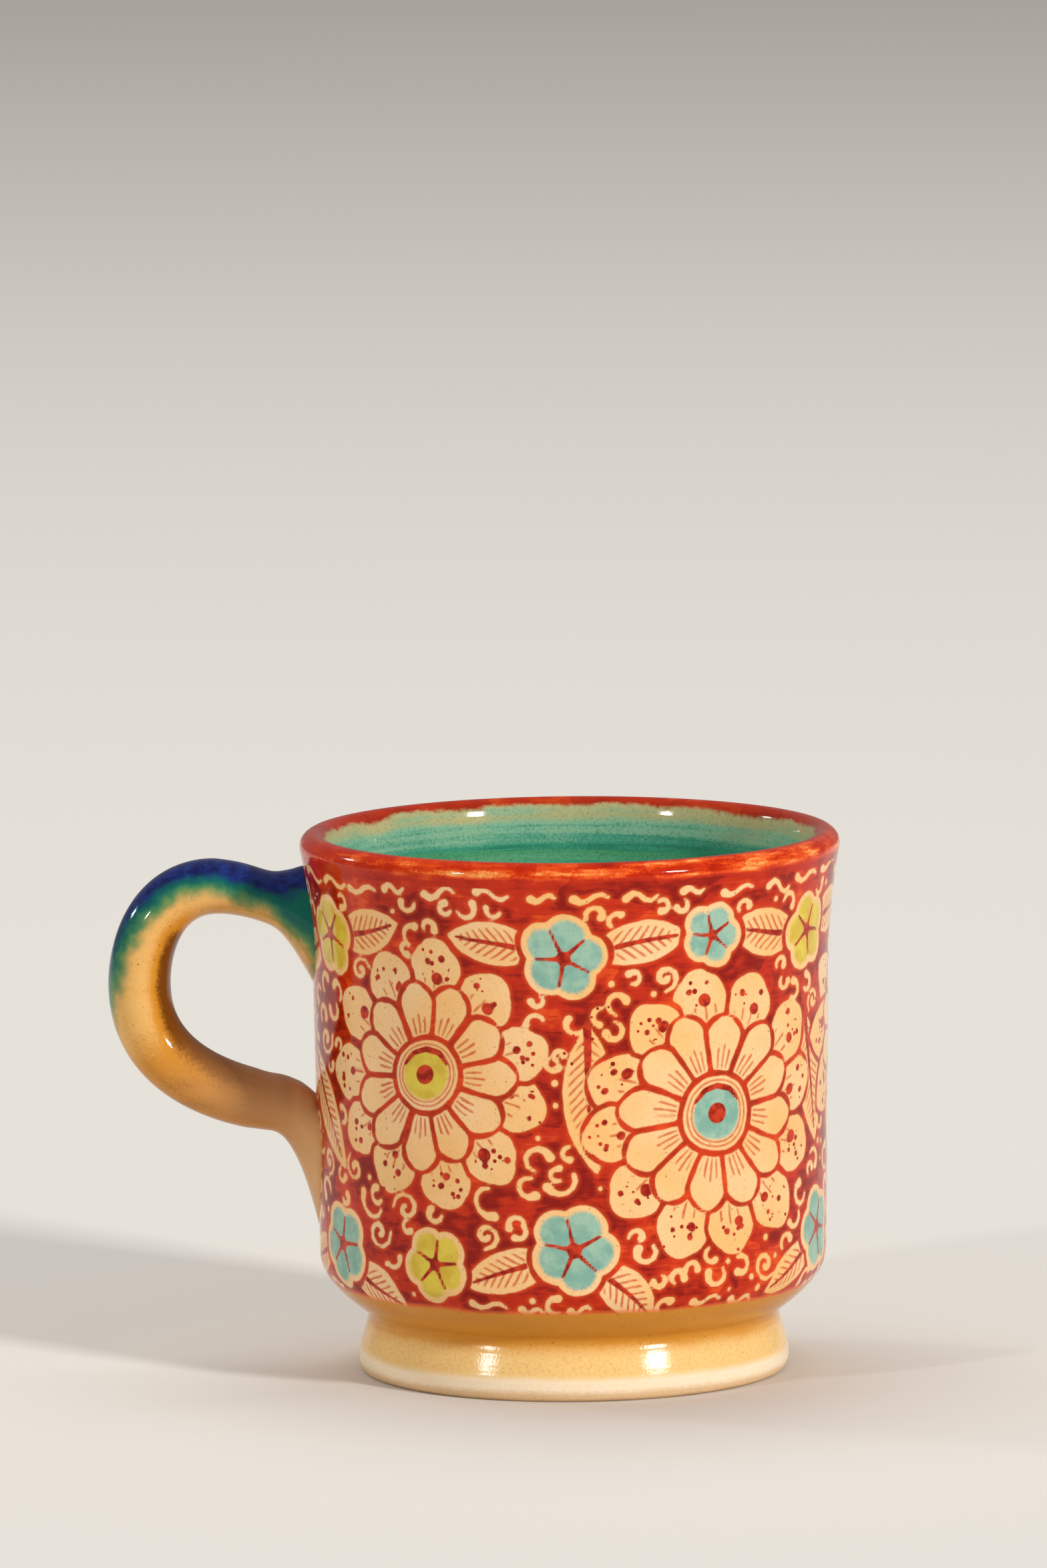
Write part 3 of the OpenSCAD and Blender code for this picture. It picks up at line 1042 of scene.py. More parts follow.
@dataclass(frozen=True)
class HoneyGlaze:
    """Clear honey glaze over buff clay, darker where it pools, with painted light on the foot and painted
    shade on the handle.
    """

    pale: Colour = (0.77, 0.43, 0.13)
    # Deep and amber are tones of pooled glaze; on the handle's inner side and lower arm they are also painted
    # shade.
    deep: Colour = (0.62, 0.252, 0.024)
    amber: Colour = (0.17, 0.050, 0.004)
    # Pale honey: on the foot it is painted light, on the wall's strip below the handle the clay's own colour.
    light: Colour = (0.89, 0.60, 0.235)
    # Pale of thin glaze, made paler still as a painted highlight.
    thin: Colour = (0.95, 0.81, 0.62)
    fleck: Colour = (0.22, 0.10, 0.03)
    tan: Colour = (0.70, 0.42, 0.165)
    brown: Colour = (0.54, 0.28, 0.085)

    def colour(self, graph: Graph, pooling_and_shade: Value) -> Value:
        """The glaze's colour.

        Args:
            graph: The material's graph.
            pooling_and_shade: How thick the glaze lies, with painted shade added on the handle: 0 is thin, 1
                is deep and 2 is amber.

        Returns:
            The colour.
        """
        cloud = graph.noise(8.0, 3.0, 0.55, stretch=(1, 1, 2.5))
        grain = graph.noise(0.42, 2.0, 0.7)
        laid = pooling_and_shade + (cloud - 0.5) * 0.8 + (grain - 0.5)
        return graph.layered(
            self.pale,
            (laid.rise(0.0, 1.0), self.deep),
            (laid.rise(1.05, 2.0), self.amber),
            (graph.specks(0.9, 0.16, 0.15) * 0.6, self.fleck),
        )

    def on_foot(self, graph: Graph) -> Value:
        """The colour down the slope and the foot, from the underside, where the glaze pools, to the pale,
        grainy edge. The foot below the waist carries painted light, and its pale lower band a painted
        highlight.

        Args:
            graph: The material's graph.

        Returns:
            The colour.
        """
        height = graph.axis("Z")
        drift = (graph.noise(14.0, 2.0, 0.5, 0.3) - 0.5) * 2.4
        grain = graph.noise(0.5, 3.0, 0.75, 0.6)
        shed = height + drift * 0.4
        bare = (height + drift * 0.35 + (grain - 0.5) * 1.6).rise(2.2, 0.9)
        return graph.layered(
            self.colour(graph, (height + drift * 0.5).rise(6.6, 10.4)),
            # Painted light: the foot is laid lighter below its waist.
            (shed.rise(9.6, 6.4) * (1.25 - grain * 0.8), self.light),
            (grain.rise(0.50, 0.68) * 0.3, self.deep),
            # Paler where the glaze thins at the lower edge, partly a painted highlight.
            (shed.rise(4.6, 3.0) * (0.35 + grain * 0.9), self.thin),
            (bare * 0.65, graph.blend(grain.rise(0.35, 0.65), self.tan, self.brown)),
        )


@dataclass(frozen=True)
class RedSlip:
    """Brushed red slip: crimson, darker where strokes overlap and orange where it is thin."""

    maroon: Colour = (0.24, 0.005, 0.001)
    crimson: Colour = (0.50, 0.022, 0.003)
    scarlet: Colour = (0.71, 0.068, 0.008)
    orange: Colour = (0.82, 0.17, 0.034)
    straw: Colour = (0.86, 0.46, 0.13)

    def colour(self, graph: Graph, thick: Value, uneven: float = 1.0) -> Value:
        """The slip's colour.

        Args:
            graph: The material's graph.
            thick: How thick the slip lies, 0 where it is wiped thin and 1 where strokes overlap.
            uneven: How much the brush's marks show.

        Returns:
            The colour.
        """
        blot = graph.noise(8.0, 4.0, 0.6, 0.3)
        streak = graph.noise(5.0, 5.0, 0.65, 0.7, (1, 1, 4.0))
        bristle = graph.noise(2.4, 4.0, 0.7, 0.9, (0.5, 0.5, 5.0))
        overlap = graph.noise(13.0, 2.0, 0.4, 1.7, (1, 1, 1.6)).rise(0.51, 0.525) * 0.26
        marks = overlap + (blot - 0.5) * 1.3 + (streak - 0.5) + (bristle - 0.5) * 0.7
        laid = thick + marks * uneven
        return graph.layered(
            self.straw,
            (laid.rise(-0.30, 0.02), self.orange),
            (laid.rise(-0.08, 0.26), self.scarlet),
            (laid.rise(0.22, 0.52), self.crimson),
            (laid.rise(0.56, 0.98), self.maroon),
        )


@dataclass(frozen=True)
class CreamGround:
    """Bare cream clay with its grain, and the washes, lines, stippling and spots painted on it."""

    pale: Colour = (0.88, 0.57, 0.29)
    warm: Colour = (0.86, 0.48, 0.17)
    grit: Colour = (0.56, 0.31, 0.10)
    fleck: Colour = (0.24, 0.12, 0.05)
    turquoise: Colour = (0.29, 0.49, 0.38)
    teal: Colour = (0.16, 0.38, 0.31)
    teal_grit: Colour = (0.10, 0.28, 0.22)
    yellow: Colour = (0.70, 0.54, 0.055)
    ochre: Colour = (0.60, 0.40, 0.03)
    fine_line: Colour = (0.60, 0.10, 0.025)
    red: Colour = (0.56, 0.040, 0.010)
    dark_red: Colour = (0.27, 0.006, 0.001)

    def colour(self, graph: Graph, fray: Value) -> Value:
        """The cream and what is painted on it.

        Args:
            graph: The material's graph.
            fray: How far the brush strays from a shape's edge, in millimetres.

        Returns:
            The colour.
        """
        grain = graph.noise(0.42, 2.0, 0.7, 0.5)
        wash = graph.noise(3.0, 3.0, 0.6, 1.3).rise(0.35, 0.65)
        dry = graph.noise(1.8, 3.0, 0.6, 1.7)
        soft = (grain - 0.5) * 0.8 + fray * 0.5
        turquoise = graph.layered(
            self.turquoise, (wash, self.teal), (grain.rise(0.55, 0.75) * 0.4, self.teal_grit)
        )
        yellow = graph.blend(wash, self.yellow, self.ochre)
        red = graph.blend(dry.rise(0.38, 0.62), self.red, self.dark_red)
        density = graph.attribute(Layer.STIPPLE.value).rise(-0.4, 2.6) * 0.62
        return graph.layered(
            self.pale,
            (graph.noise(16.0, 2.0, 0.5, 0.9).rise(0.3, 0.7), self.warm),
            (grain.rise(0.52, 0.74) * 0.45, self.grit),
            (graph.specks(0.9, 0.13, 0.13) * 0.6, self.fleck),
            ((graph.attribute(Layer.TURQUOISE.value) + soft).rise(-0.5, 0.35) * 0.95, turquoise),
            ((graph.attribute(Layer.YELLOW.value) + soft).rise(-0.4, 0.3) * 0.95, yellow),
            (self._ruled(graph, dry), self.fine_line),
            (graph.specks(1.35, density, 0.22), red),
            ((graph.attribute(Layer.DARK.value) + fray * 0.35).rise(-0.15, 0.11), red),
        )

    def _ruled(self, graph: Graph, dry: Value) -> Value:
        """The fine ruled lines.

        Args:
            graph: The material's graph.
            dry: Where the brush runs dry, which breaks the lines.

        Returns:
            A mask that is 1 on the lines.
        """
        phase = graph.attribute("hatch_phase") + (graph.noise(4.0, 2.0, 0.5, 2.9) - 0.5) * 0.5
        far = (phase.fraction() - 0.5).size() * graph.attribute("hatch_pitch")
        ruled = graph.attribute(Layer.HATCH.value).rise(0.0, 0.5)
        return (0.10 + dry * 0.22 - far).rise(-0.08, 0.09) * ruled * (0.40 + dry * 0.75)


@dataclass(frozen=True)
class LipAndLining:
    """Red slip that thins over the lip's crest, and inside it a combed green glaze."""

    shadow: Colour = (0.22, 0.030, 0.010)
    straw: Colour = (0.52, 0.45, 0.21)
    olive: Colour = (0.42, 0.42, 0.20)
    pale: Colour = (0.24, 0.47, 0.30)
    teal: Colour = (0.055, 0.32, 0.21)
    deep: Colour = (0.030, 0.31, 0.185)
    leaf: Colour = (0.095, 0.34, 0.145)
    light_streak: Colour = (0.17, 0.44, 0.24)
    dark_streak: Colour = (0.012, 0.14, 0.085)
    dark_grain: Colour = (0.015, 0.15, 0.09)
    fleck: Colour = (0.05, 0.13, 0.06)

    def material(self, slip: RedSlip) -> bpy.types.Material:
        """One finish for both coats, so that their seam doesn't show.

        Args:
            slip: The red of the lip.

        Returns:
            The material.
        """
        graph = Graph("lip_and_lining")
        past = graph.attribute("past_crest")
        sweep = graph.noise(18.0, 3.0, 0.55, 0.4)
        grain = graph.noise(0.42, 2.0, 0.7, 0.2)
        ragged = graph.noise(1.2, 4.0, 0.65, 0.8)
        edge = past + (sweep - 0.5) * 4.0 + (ragged - 0.5) * 1.4
        glaze = self._glaze(graph, past, sweep, grain)
        colour = graph.blend(edge.rise(1.9, 2.9), self._lip(graph, slip, past, grain), glaze)
        wave = graph.noise(13.0, 2.0, 0.4, 0.4, (1, 1, 2.0))
        relief = wave * 0.8 + graph.noise(1.0, 2.0, 0.5, 0.6) * 0.05
        return graph.shade(colour, 0.05 + grain * 0.06, relief, 0.2)

    def _lip(self, graph: Graph, slip: RedSlip, past: Value, grain: Value) -> Value:
        """The red of the lip, bald where the brush slid over its outer shoulder, with painted shade below the
        roll and over the crest.

        Args:
            graph: The material's graph.
            slip: The slip's colours.
            past: Distance past the crest, in millimetres.
            grain: The clay's grain.

        Returns:
            The colour.
        """
        worn = graph.noise(12.0, 4.0, 0.6, 1.1, (0.8, 0.8, 6.0)) + graph.axis("X") * 0.0022
        shoulder = past.rise(-4.6, -3.4) * past.rise(-0.2, -1.4)
        bald = shoulder * (worn + (grain - 0.5) * 0.22).rise(0.44, 0.66)
        # Below the roll's outer side the slip is laid darker: painted shade under the lip.
        red = slip.colour(graph, 0.46 + past.rise(-3.8, -4.6) * 0.16 - bald * 0.62, 0.7)
        return graph.blend(past.rise(-1.0, 1.5) * 0.35, red, self.shadow)

    def _glaze(self, graph: Graph, past: Value, sweep: Value, grain: Value) -> Value:
        """The glaze, straw where it is thin below the lip and banded green further down.

        Args:
            graph: The material's graph.
            past: Distance past the crest, in millimetres.
            sweep: The brush's broad sweeps.
            grain: The clay's grain.

        Returns:
            The colour.
        """
        band = graph.noise(30.0, 4.0, 0.6, 0.5, (0.20, 0.20, 7.0))
        comb = graph.noise(20.0, 3.0, 0.6, 1.5, (0.30, 0.30, 16.0))
        fade = past + (band - 0.5) * 5.0 + (comb - 0.5) * 6.0 + (sweep - 0.5) * 4.5 + (grain - 0.5) * 3.0
        low = fade.rise(6.0, 10.0)
        dark = comb.rise(0.55, 0.63) * low * sweep.rise(0.38, 0.60)
        return graph.layered(
            graph.blend(sweep.rise(0.35, 0.65), self.straw, self.olive),
            (fade.rise(3.4, 6.0), self.pale),
            (fade.rise(5.6, 8.4), self.teal),
            (fade.rise(7.6, 12.0), graph.blend(band.rise(0.40, 0.56), self.deep, self.leaf)),
            (comb.rise(0.46, 0.36) * low * 0.4, self.light_streak),
            (dark * 0.55, self.dark_streak),
            (grain.rise(0.42, 0.66) * low * 0.3, self.dark_grain),
            (grain.rise(0.48, 0.72) * 0.34, self.fleck),
        )


@dataclass(frozen=True)
class CrownedGlaze:
    """Honey glaze on the handle, with cobalt over the crown that runs to green before it fades out."""

    rust: Colour = (0.50, 0.25, 0.11)
    tail: Colour = (0.68, 0.37, 0.15)
    green: Colour = (0.085, 0.23, 0.085)
    teal: Colour = (0.006, 0.125, 0.095)
    cobalt: Colour = (0.006, 0.008, 0.070)
    bright_cobalt: Colour = (0.010, 0.026, 0.15)

    def material(self, honey: HoneyGlaze) -> bpy.types.Material:
        """The handle's finish, which follows two attributes of its mesh.

        The one named outer is 1 on the loop's outer side, and along goes from 0 to 1 down the loop.

        Args:
            honey: The glaze under the cobalt.

        Returns:
            The material.
        """
        graph = Graph("loop_handle")
        outer, along = graph.attribute("outer"), graph.attribute("along")
        run = graph.noise(6.0, 3.0, 0.6, 0.4)
        fine = graph.noise(1.6, 3.0, 0.6, 0.9)
        grain = graph.noise(0.32, 2.0, 0.7, 0.2)
        loop, join = along | 0.0, along & 0.0
        edge = loop * 1.75 + join * 1.5 + along.rise(0.50, 0.60) * 0.7 - 0.24
        laid = outer - edge + (run - 0.5) + (fine - 0.5) * 0.15 + (grain - 0.5) * 0.12
        under = along.rise(0.58, 0.94) * (1 - outer.rise(0.2, 0.95) * 0.6)
        colour = graph.layered(
            # Honey under the cobalt, with painted shade on the loop's inner side and lower arm.
            honey.colour(graph, self._pooled_and_shaded(outer, along)),
            (under * 0.8, self.rust),
            (along.rise(1.04, 1.2) * 0.8, self.tail),
            (laid.rise(-0.42, 0.12), self.green),
            (laid.rise(0.0, 0.34), self.teal),
            ((laid + loop * 0.25 + join * 3.2).rise(0.28, 0.72),
             graph.blend(fine.rise(0.35, 0.65), self.cobalt, self.bright_cobalt)),
        )
        relief = graph.noise(10.0, 2.0, 0.4, 0.4) * 0.8 + graph.noise(0.9, 2.0, 0.5, 0.6) * 0.05
        return graph.shade(colour, 0.05 + grain * 0.06, relief, 0.25)

    def _pooled_and_shaded(self, outer: Value, along: Value) -> Value:
        """How thick the honey glaze lies, with painted shade laid in: darkest on the loop's inner side and on
        the lower arm.

        Args:
            outer: 1 on the loop's outer side and -1 on its inner side.
            along: The share of the way down the loop.

        Returns:
            The thickness and painted shade that HoneyGlaze takes.
        """
        # Painted shade on the loop's inner side, eased off where the lower arm starts.
        inner = outer.rise(-0.10, -0.95) * along.rise(0.12, 0.38) * (1 - along.rise(0.56, 0.70) * 0.6)
        # Pooled glaze and painted shade darken the lower arm.
        return inner * 2.3 + along.rise(0.54, 0.72) * 1.08 + 0.15


@dataclass(frozen=True)
class BareClay:
    """Buff clay with fine grit, honeyed where the foot's glaze runs over it and bare underneath."""

    buff: Colour = (0.62, 0.40, 0.20)
    dark: Colour = (0.52, 0.31, 0.15)
    grit: Colour = (0.34, 0.19, 0.09)

    def material(self, honey: HoneyGlaze) -> bpy.types.Material:
        """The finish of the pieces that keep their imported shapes.

        Args:
            honey: The glaze that runs over the foot.

        Returns:
            The material.
        """
        graph = Graph("bare_clay")
        cloud = graph.noise(8.0, 3.0, 0.6)
        grit = graph.noise(0.5, 3.0, 0.7, 0.3)
        glazed = graph.axis("Z").rise(0.15, 0.7)
        colour = graph.layered(
            self.buff,
            (cloud.rise(0.3, 0.7), self.dark),
            (grit.rise(0.55, 0.75) * 0.4, self.grit),
            (glazed, honey.on_foot(graph)),
        )
        return graph.shade(colour, 0.62 - glazed * 0.35 + grit * 0.2, grit * 0.6 + cloud * 0.4, 0.12)


@dataclass
class Coat:
    """A thin coat on the clay, rooted a little way into it."""

    outline: Outline
    steps: int = 300
    rows: int = 60
    inner_rows: int = 24
    root: float = 1.0

    def shell(self, name: str, first: str, last: str, feather: int = 0) -> bpy.types.Object:
        """Makes the coat between two places on the outline.

        Args:
            name: The piece's name.
            first: Where it starts.
            last: Where it ends.
            feather: Number of the outline's steps over which it thins out at its start.

        Returns:
            The closed piece.
        """
        skin, place = self.outline.skin()
        start, end = place[first], place[last] + 1
        coat = grown(skin, self.outline.slip)[start:end]
        for i in range(feather):
            coat[i] = tuple(a + (b - a) * i / feather for a, b in zip(skin[start + i], coat[i]))
        inside = resampled(grown(skin, -self.root)[start:end], self.inner_rows)
        return lathe(name, resampled(coat, self.rows) + inside[::-1], self.steps)

    def past_crest(self, piece: bpy.types.Object) -> None:
        """Holds how many millimetres past the lip's crest each vertex lies, negative outside the cup.

        Args:
            piece: A coat on the lip or inside the cup.
        """
        outline, at = self.outline, places(piece)
        r = np.hypot(at[:, 0], at[:, 1])
        tube = outline.lip_r + outline.slip
        around = tube * (np.arctan2(at[:, 2] - outline.lip_z, r - outline.lip_mid_r) - math.pi / 2)
        below = outline.lip_z - at[:, 2] + tube * math.pi / 2
        side = np.where(r < outline.lip_mid_r, 1.0, -1.0)
        hold(piece, "past_crest", np.where(at[:, 2] >= outline.lip_z, around, side * below))


@dataclass
class PaintedWall(Coat):
    """The red slip on the outside of the wall, with the ornament painted on it."""

    steps: int = 576
    rows: int = 158
    inner_rows: int = 9
    strip_half_w: float = 4.2
    strip_top_z: float = 30.0

    def build(self) -> bpy.types.Object:
        """Makes the coat, and holds the painted layers at its vertices.

        Returns:
            The piece.
        """
        piece = self.shell("painted_wall", "seam", "band")
        at = places(piece)
        radius = self.outline.wall_r
        turn = (np.arctan2(at[:, 1], at[:, 0]) + math.pi / 2 + math.pi) % (2 * math.pi) - math.pi
        brush = Brushwork(turn * radius, at[:, 2], 2 * math.pi * radius)
        FloralPattern(brush).paint()
        for layer, field in brush.fields.items():
            hold(piece, layer.value, field)
        hold(piece, "hatch_phase", brush.phase)
        hold(piece, "hatch_pitch", brush.pitch)
        return piece

    def material(self, slip: RedSlip, honey: HoneyGlaze, ground: CreamGround) -> bpy.types.Material:
        """Red slip, cream reserves and what is painted on them, under one clear glaze.

        Args:
            slip: The red.
            honey: The glaze below the slip's edge and on the strip below the handle.
            ground: The cream and its paints.

        Returns:
            The material.
        """
        graph = Graph("painted_wall")
        fray = (graph.noise(2.2, 2.0, 0.5, 0.2) - 0.5) * 0.45
        cream = graph.attribute(Layer.CREAM.value) + fray
        outlined = cream.rise(-2.3, -1.1) * 0.30 * graph.noise(6.0, 2.0, 0.5, 2.6).rise(0.35, 0.6)
        reserve = cream.rise(-0.15, 0.15)
        height = graph.axis("Z")
        strip = graph.axis("Y").size().rise(self.strip_half_w + 1, self.strip_half_w)
        strip = strip * graph.axis("X").rise(0.0, -1.0) * height.rise(self.strip_top_z + 6, self.strip_top_z)
        ragged = (graph.noise(9.0, 3.0, 0.55, 2.1) - 0.5) * 1.2
        above = height + ragged - self._slip_z()
        colour = graph.layered(
            slip.colour(graph, 0.47 + outlined),
            (cream.rise(-0.75, -0.1) * 0.45, slip.scarlet),
            (reserve, ground.colour(graph, fray)),
            (strip * 0.85, honey.light),
            (above.rise(0.9, 0.15) * 0.7, slip.orange),
            (above.rise(0.15, -0.1), honey.on_foot(graph)),
        )
        wave = graph.noise(11.0, 2.0, 0.4, 0.4)
        skin = graph.noise(0.9, 2.0, 0.5, 0.6)
        relief = wave * 0.8 + skin * 0.05 - reserve * 0.08
        return graph.shade(colour, 0.07 + graph.noise(2.0, 3.0, 0.6) * 0.07, relief, 0.2)

    def _slip_z(self) -> float:
        """Height of the slip's lower edge."""
        skin, place = self.outline.skin()
        return skin[place["slip"]][1]


@dataclass
class BrushedRim(Coat):
    """The thin slip over the lip, which the brush left uneven."""

    steps: int = 360

    def build(self) -> bpy.types.Object:
        """Makes the coat over the lip.

        Returns:
            The piece.
        """
        piece = self.shell("brushed_rim", "band", "lining")
        self.past_crest(piece)
        return piece


@dataclass
class GlazedLining(Coat):
    """The green glaze inside the cup."""

    rows: int = 110
    inner_rows: int = 40

    def build(self) -> bpy.types.Object:
        """Makes the lining, closed at the middle of the floor.

        Returns:
            The piece.
        """
        piece = self.shell("glazed_lining", "lining", "floor")
        self.past_crest(piece)
        return piece


@dataclass
class GlazedFoot(Coat):
    """The honey glaze on the underside's slope and the foot."""

    rows: int = 56
    feather: int = 24

    def build(self) -> bpy.types.Object:
        """Makes the coat from the foot's widest place, where it thins out, to the painted wall."""
        return self.shell("glazed_foot", "foot", "seam", self.feather)

    def material(self, honey: HoneyGlaze) -> bpy.types.Material:
        """Honey glaze that pools at the waist and thins to pale clay at the lower edge.

        Args:
            honey: The glaze.

        Returns:
            The material.
        """
        graph = Graph("glazed_foot")
        rings = graph.noise(30.0, 3.0, 0.6, 0.2, (0.2, 0.2, 12.0))
        grit = graph.noise(0.45, 3.0, 0.7, 0.5)
        relief = rings * 0.4 + graph.noise(9.0, 2.0, 0.4, 0.4) * 0.6 + grit * 0.09
        return graph.shade(honey.on_foot(graph), 0.06 + grit * 0.10, relief, 0.2)


@dataclass
class LoopHandle:
    """The pulled handle with its flared joins, in one sweep from wall to wall."""

    outline: Outline
    reach: float = 71.9
    mid_z: float = 65.1
    top_z: float = 79.5
    low_z: float = 45.2
    arm_t: float = 8.8
    low_arm_t: float = 9.8
    loop_t: float = 10.5
    loop_w: float = 12.6
    join_x: float = 50.0
    join_w: float = 16.4
    upper_top_z: float = 85.6
    upper_low_z: float = 63.4
    lower_top_z: float = 45.8
    tail_tip_z: float = 22.6
    upper_spread: float = 1.4
    lower_spread: float = 2.0
    tail_taper_share: float = 0.45
    upper_aim_shares: Point = (0.76, 0.5)
    upper_turn_share: float = 0.62
    lower_turn_share: float = 0.86
    lower_aim_shares: Point = (0.08, 0.02)
    facing_share: float = 0.16
    sides: int = 40
    loop_n: int = 28
    join_n: int = 12
    depth: float = 1.6
    eased_shares: Point = (0.12, 0.10)
    easing_passes: int = 6
    sharp: float = 70.0
    smooth_levels: int = 2

    def line(self) -> list[Point]:
        """The loop's middle line, from the upper join to the lower.

        Returns:
            The line's points.
        """
        out = self.reach - self.join_x
        upper, lower = self.top_z - self.mid_z, self.mid_z - self.low_z
        (up_x, up_z), (low_x, low_z) = self.upper_aim_shares, self.lower_aim_shares
        far = (-self.reach, self.mid_z)
        first = (
            (-self.join_x, self.top_z),
            (-self.join_x - out * up_x, self.top_z + upper * up_z),
            (-self.reach, self.mid_z + upper * self.upper_turn_share),
            far,
        )
        second = (
            far,
            (-self.reach, self.mid_z - lower * self.lower_turn_share),
            (-self.join_x - out * low_x, self.low_z + lower * low_z),
            (-self.join_x, self.low_z),
        )
        return curve(first, self.loop_n) + curve(second, self.loop_n)[1:]

    def _loop_ring(self, line: list[Point], i: int) -> Callable[[float], Vector]:
        """A section of the loop.

        Args:
            line: The loop's middle line.
            i: The number of the section's point on it.

        Returns:
            The section's place at a turn round it, 0 on the loop's outer side.
        """
        last = len(line) - 1
        share = i / last
        ahead, behind = line[min(i + 1, last)], line[max(i - 1, 0)]
        heading = math.degrees(math.atan2(ahead[1] - behind[1], ahead[0] - behind[0])) % 360
        heading = 360.0 if heading < 90 else heading
        start = max(0.0, 1 - share / self.facing_share)
        end = max(0.0, 1 - (1 - share) / self.facing_share)
        heading += (180 - heading) * start + (360 - heading) * end
        a = math.radians(heading)
        swell = self.loop_t - (self.arm_t + self.low_arm_t) / 2
        mean = self.arm_t + (self.low_arm_t - self.arm_t) * share
        half = (mean + swell * math.sin(math.pi * share)) / 2
        x, z = line[i]

        def at(turn: float) -> Vector:
            """The section's place at a turn."""
            out = half * math.cos(turn)
            return Vector((x + out * math.sin(a), self.loop_w / 2 * math.sin(turn), z - out * math.cos(a)))

        return at

    def _join_ring(self, upper: bool, share: float) -> Callable[[float], Vector]:
        """A section of a join.

        Args:
            upper: Whether it is the upper join.
            share: Where the section lies, from 0 at the loop to 1 at the wall.

        Returns:
            The section's place at a turn round it, 0 on the loop's outer side.
        """
        arm_z, thick = (self.top_z, self.arm_t) if upper else (self.low_z, self.low_arm_t)
        top, low = (self.upper_top_z, self.upper_low_z) if upper else (self.lower_top_z, self.tail_tip_z)
        flare = min(share, 1.0) ** (self.upper_spread if upper else self.lower_spread)
        taper = 0.0 if upper else self.tail_taper_share * flare
        high = arm_z + thick / 2 + (top - arm_z - thick / 2) * flare
        deep = arm_z - thick / 2 + (low - arm_z + thick / 2) * flare
        mid, half_h = (high + deep) / 2, (high - deep) / 2
        half_w = (self.loop_w + (self.join_w - self.loop_w) * flare) / 2
        x = -self.join_x + (self.join_x - self.outline.wall_r) * share
        sign = 1 if upper else -1

        def at(turn: float) -> Vector:
            """The section's place at a turn."""
            rise = sign * math.cos(turn)
            return Vector((x, half_w * math.sin(turn) * (1 + taper * rise), mid + half_h * rise))

        return at

    def build(self) -> bpy.types.Object:
        """Sweeps the handle's sections from the wall, round the loop and back to the wall.

        Returns:
            The closed piece, whose joins are eased into the loop.
        """
        line = self.line()
        beyond = 1 + self.depth / (self.join_x - self.outline.wall_r)
        shares = [beyond] + [1 - i / self.join_n for i in range(self.join_n)]
        rings = [self._join_ring(True, s) for s in shares]
        rings += [self._loop_ring(line, i) for i in range(len(line))]
        rings += [self._join_ring(False, s) for s in reversed(shares)]
        bm = bmesh.new()
        turn, outer, along = (bm.verts.layers.float.new(name) for name in ("turn", "outer", "along"))
        bmesh.ops.create_circle(bm, radius=1.0, segments=self.sides)
        for v in bm.verts:
            v[turn] = math.atan2(v.co.y, v.co.x)
            v[outer] = math.cos(v[turn])
        verts, edges = list(bm.verts), list(bm.edges)
        bmesh.ops.edgeloop_fill(bm, edges=edges)
        for i, ring in enumerate(rings):
            if i:
                made = bmesh.ops.extrude_edge_only(bm, edges=edges)["geom"]
                verts = [g for g in made if isinstance(g, bmesh.types.BMVert)]
                fresh = set(verts)
                edges = [g for g in made if isinstance(g, bmesh.types.BMEdge) and fresh.issuperset(g.verts)]
            for v in verts:
                v.co = ring(v[turn])
                v[along] = (i - len(shares)) / (len(line) - 1)
        bmesh.ops.edgeloop_fill(bm, edges=edges)
        bmesh.ops.recalc_face_normals(bm, faces=bm.faces)
        on_join, on_loop = self.eased_shares
        eased = [
            v for v in bm.verts
            if -on_join < v[along] < on_loop or 1 - on_loop < v[along] < 1 + on_join
        ]
        axes = {"use_axis_x": True, "use_axis_y": True, "use_axis_z": True}
        for _ in range(self.easing_passes):
            bmesh.ops.smooth_vert(bm, verts=eased, factor=0.5, **axes)
        piece = finished("loop_handle", bm, self.sharp)
        smooth = piece.modifiers.new("smooth", "SUBSURF")
        smooth.levels = smooth.render_levels = self.smooth_levels
        return piece


@dataclass(frozen=True)
class Lamp:
    """A soft rectangular light. Its place and size are in metres and its power in watts."""

    name: str
    place: tuple[float, float, float]
    size: Point
    power: float
    mirrored: bool = True

    def hang(self, target: Vector) -> None:
        """Puts the lamp in the scene.

        Args:
            target: What it faces.
        """
        data = bpy.data.lights.new(self.name, "AREA")
        data.shape = "RECTANGLE"
        data.size, data.size_y = self.size
        data.energy = self.power
        made = bpy.data.objects.new(self.name, data)
        made.visible_glossy = self.mirrored
        bpy.context.scene.collection.objects.link(made)
        facing = (target - Vector(self.place)).to_track_quat("-Z", "Y")
        made.matrix_world = Matrix.Translation(self.place) @ facing.to_matrix().to_4x4()


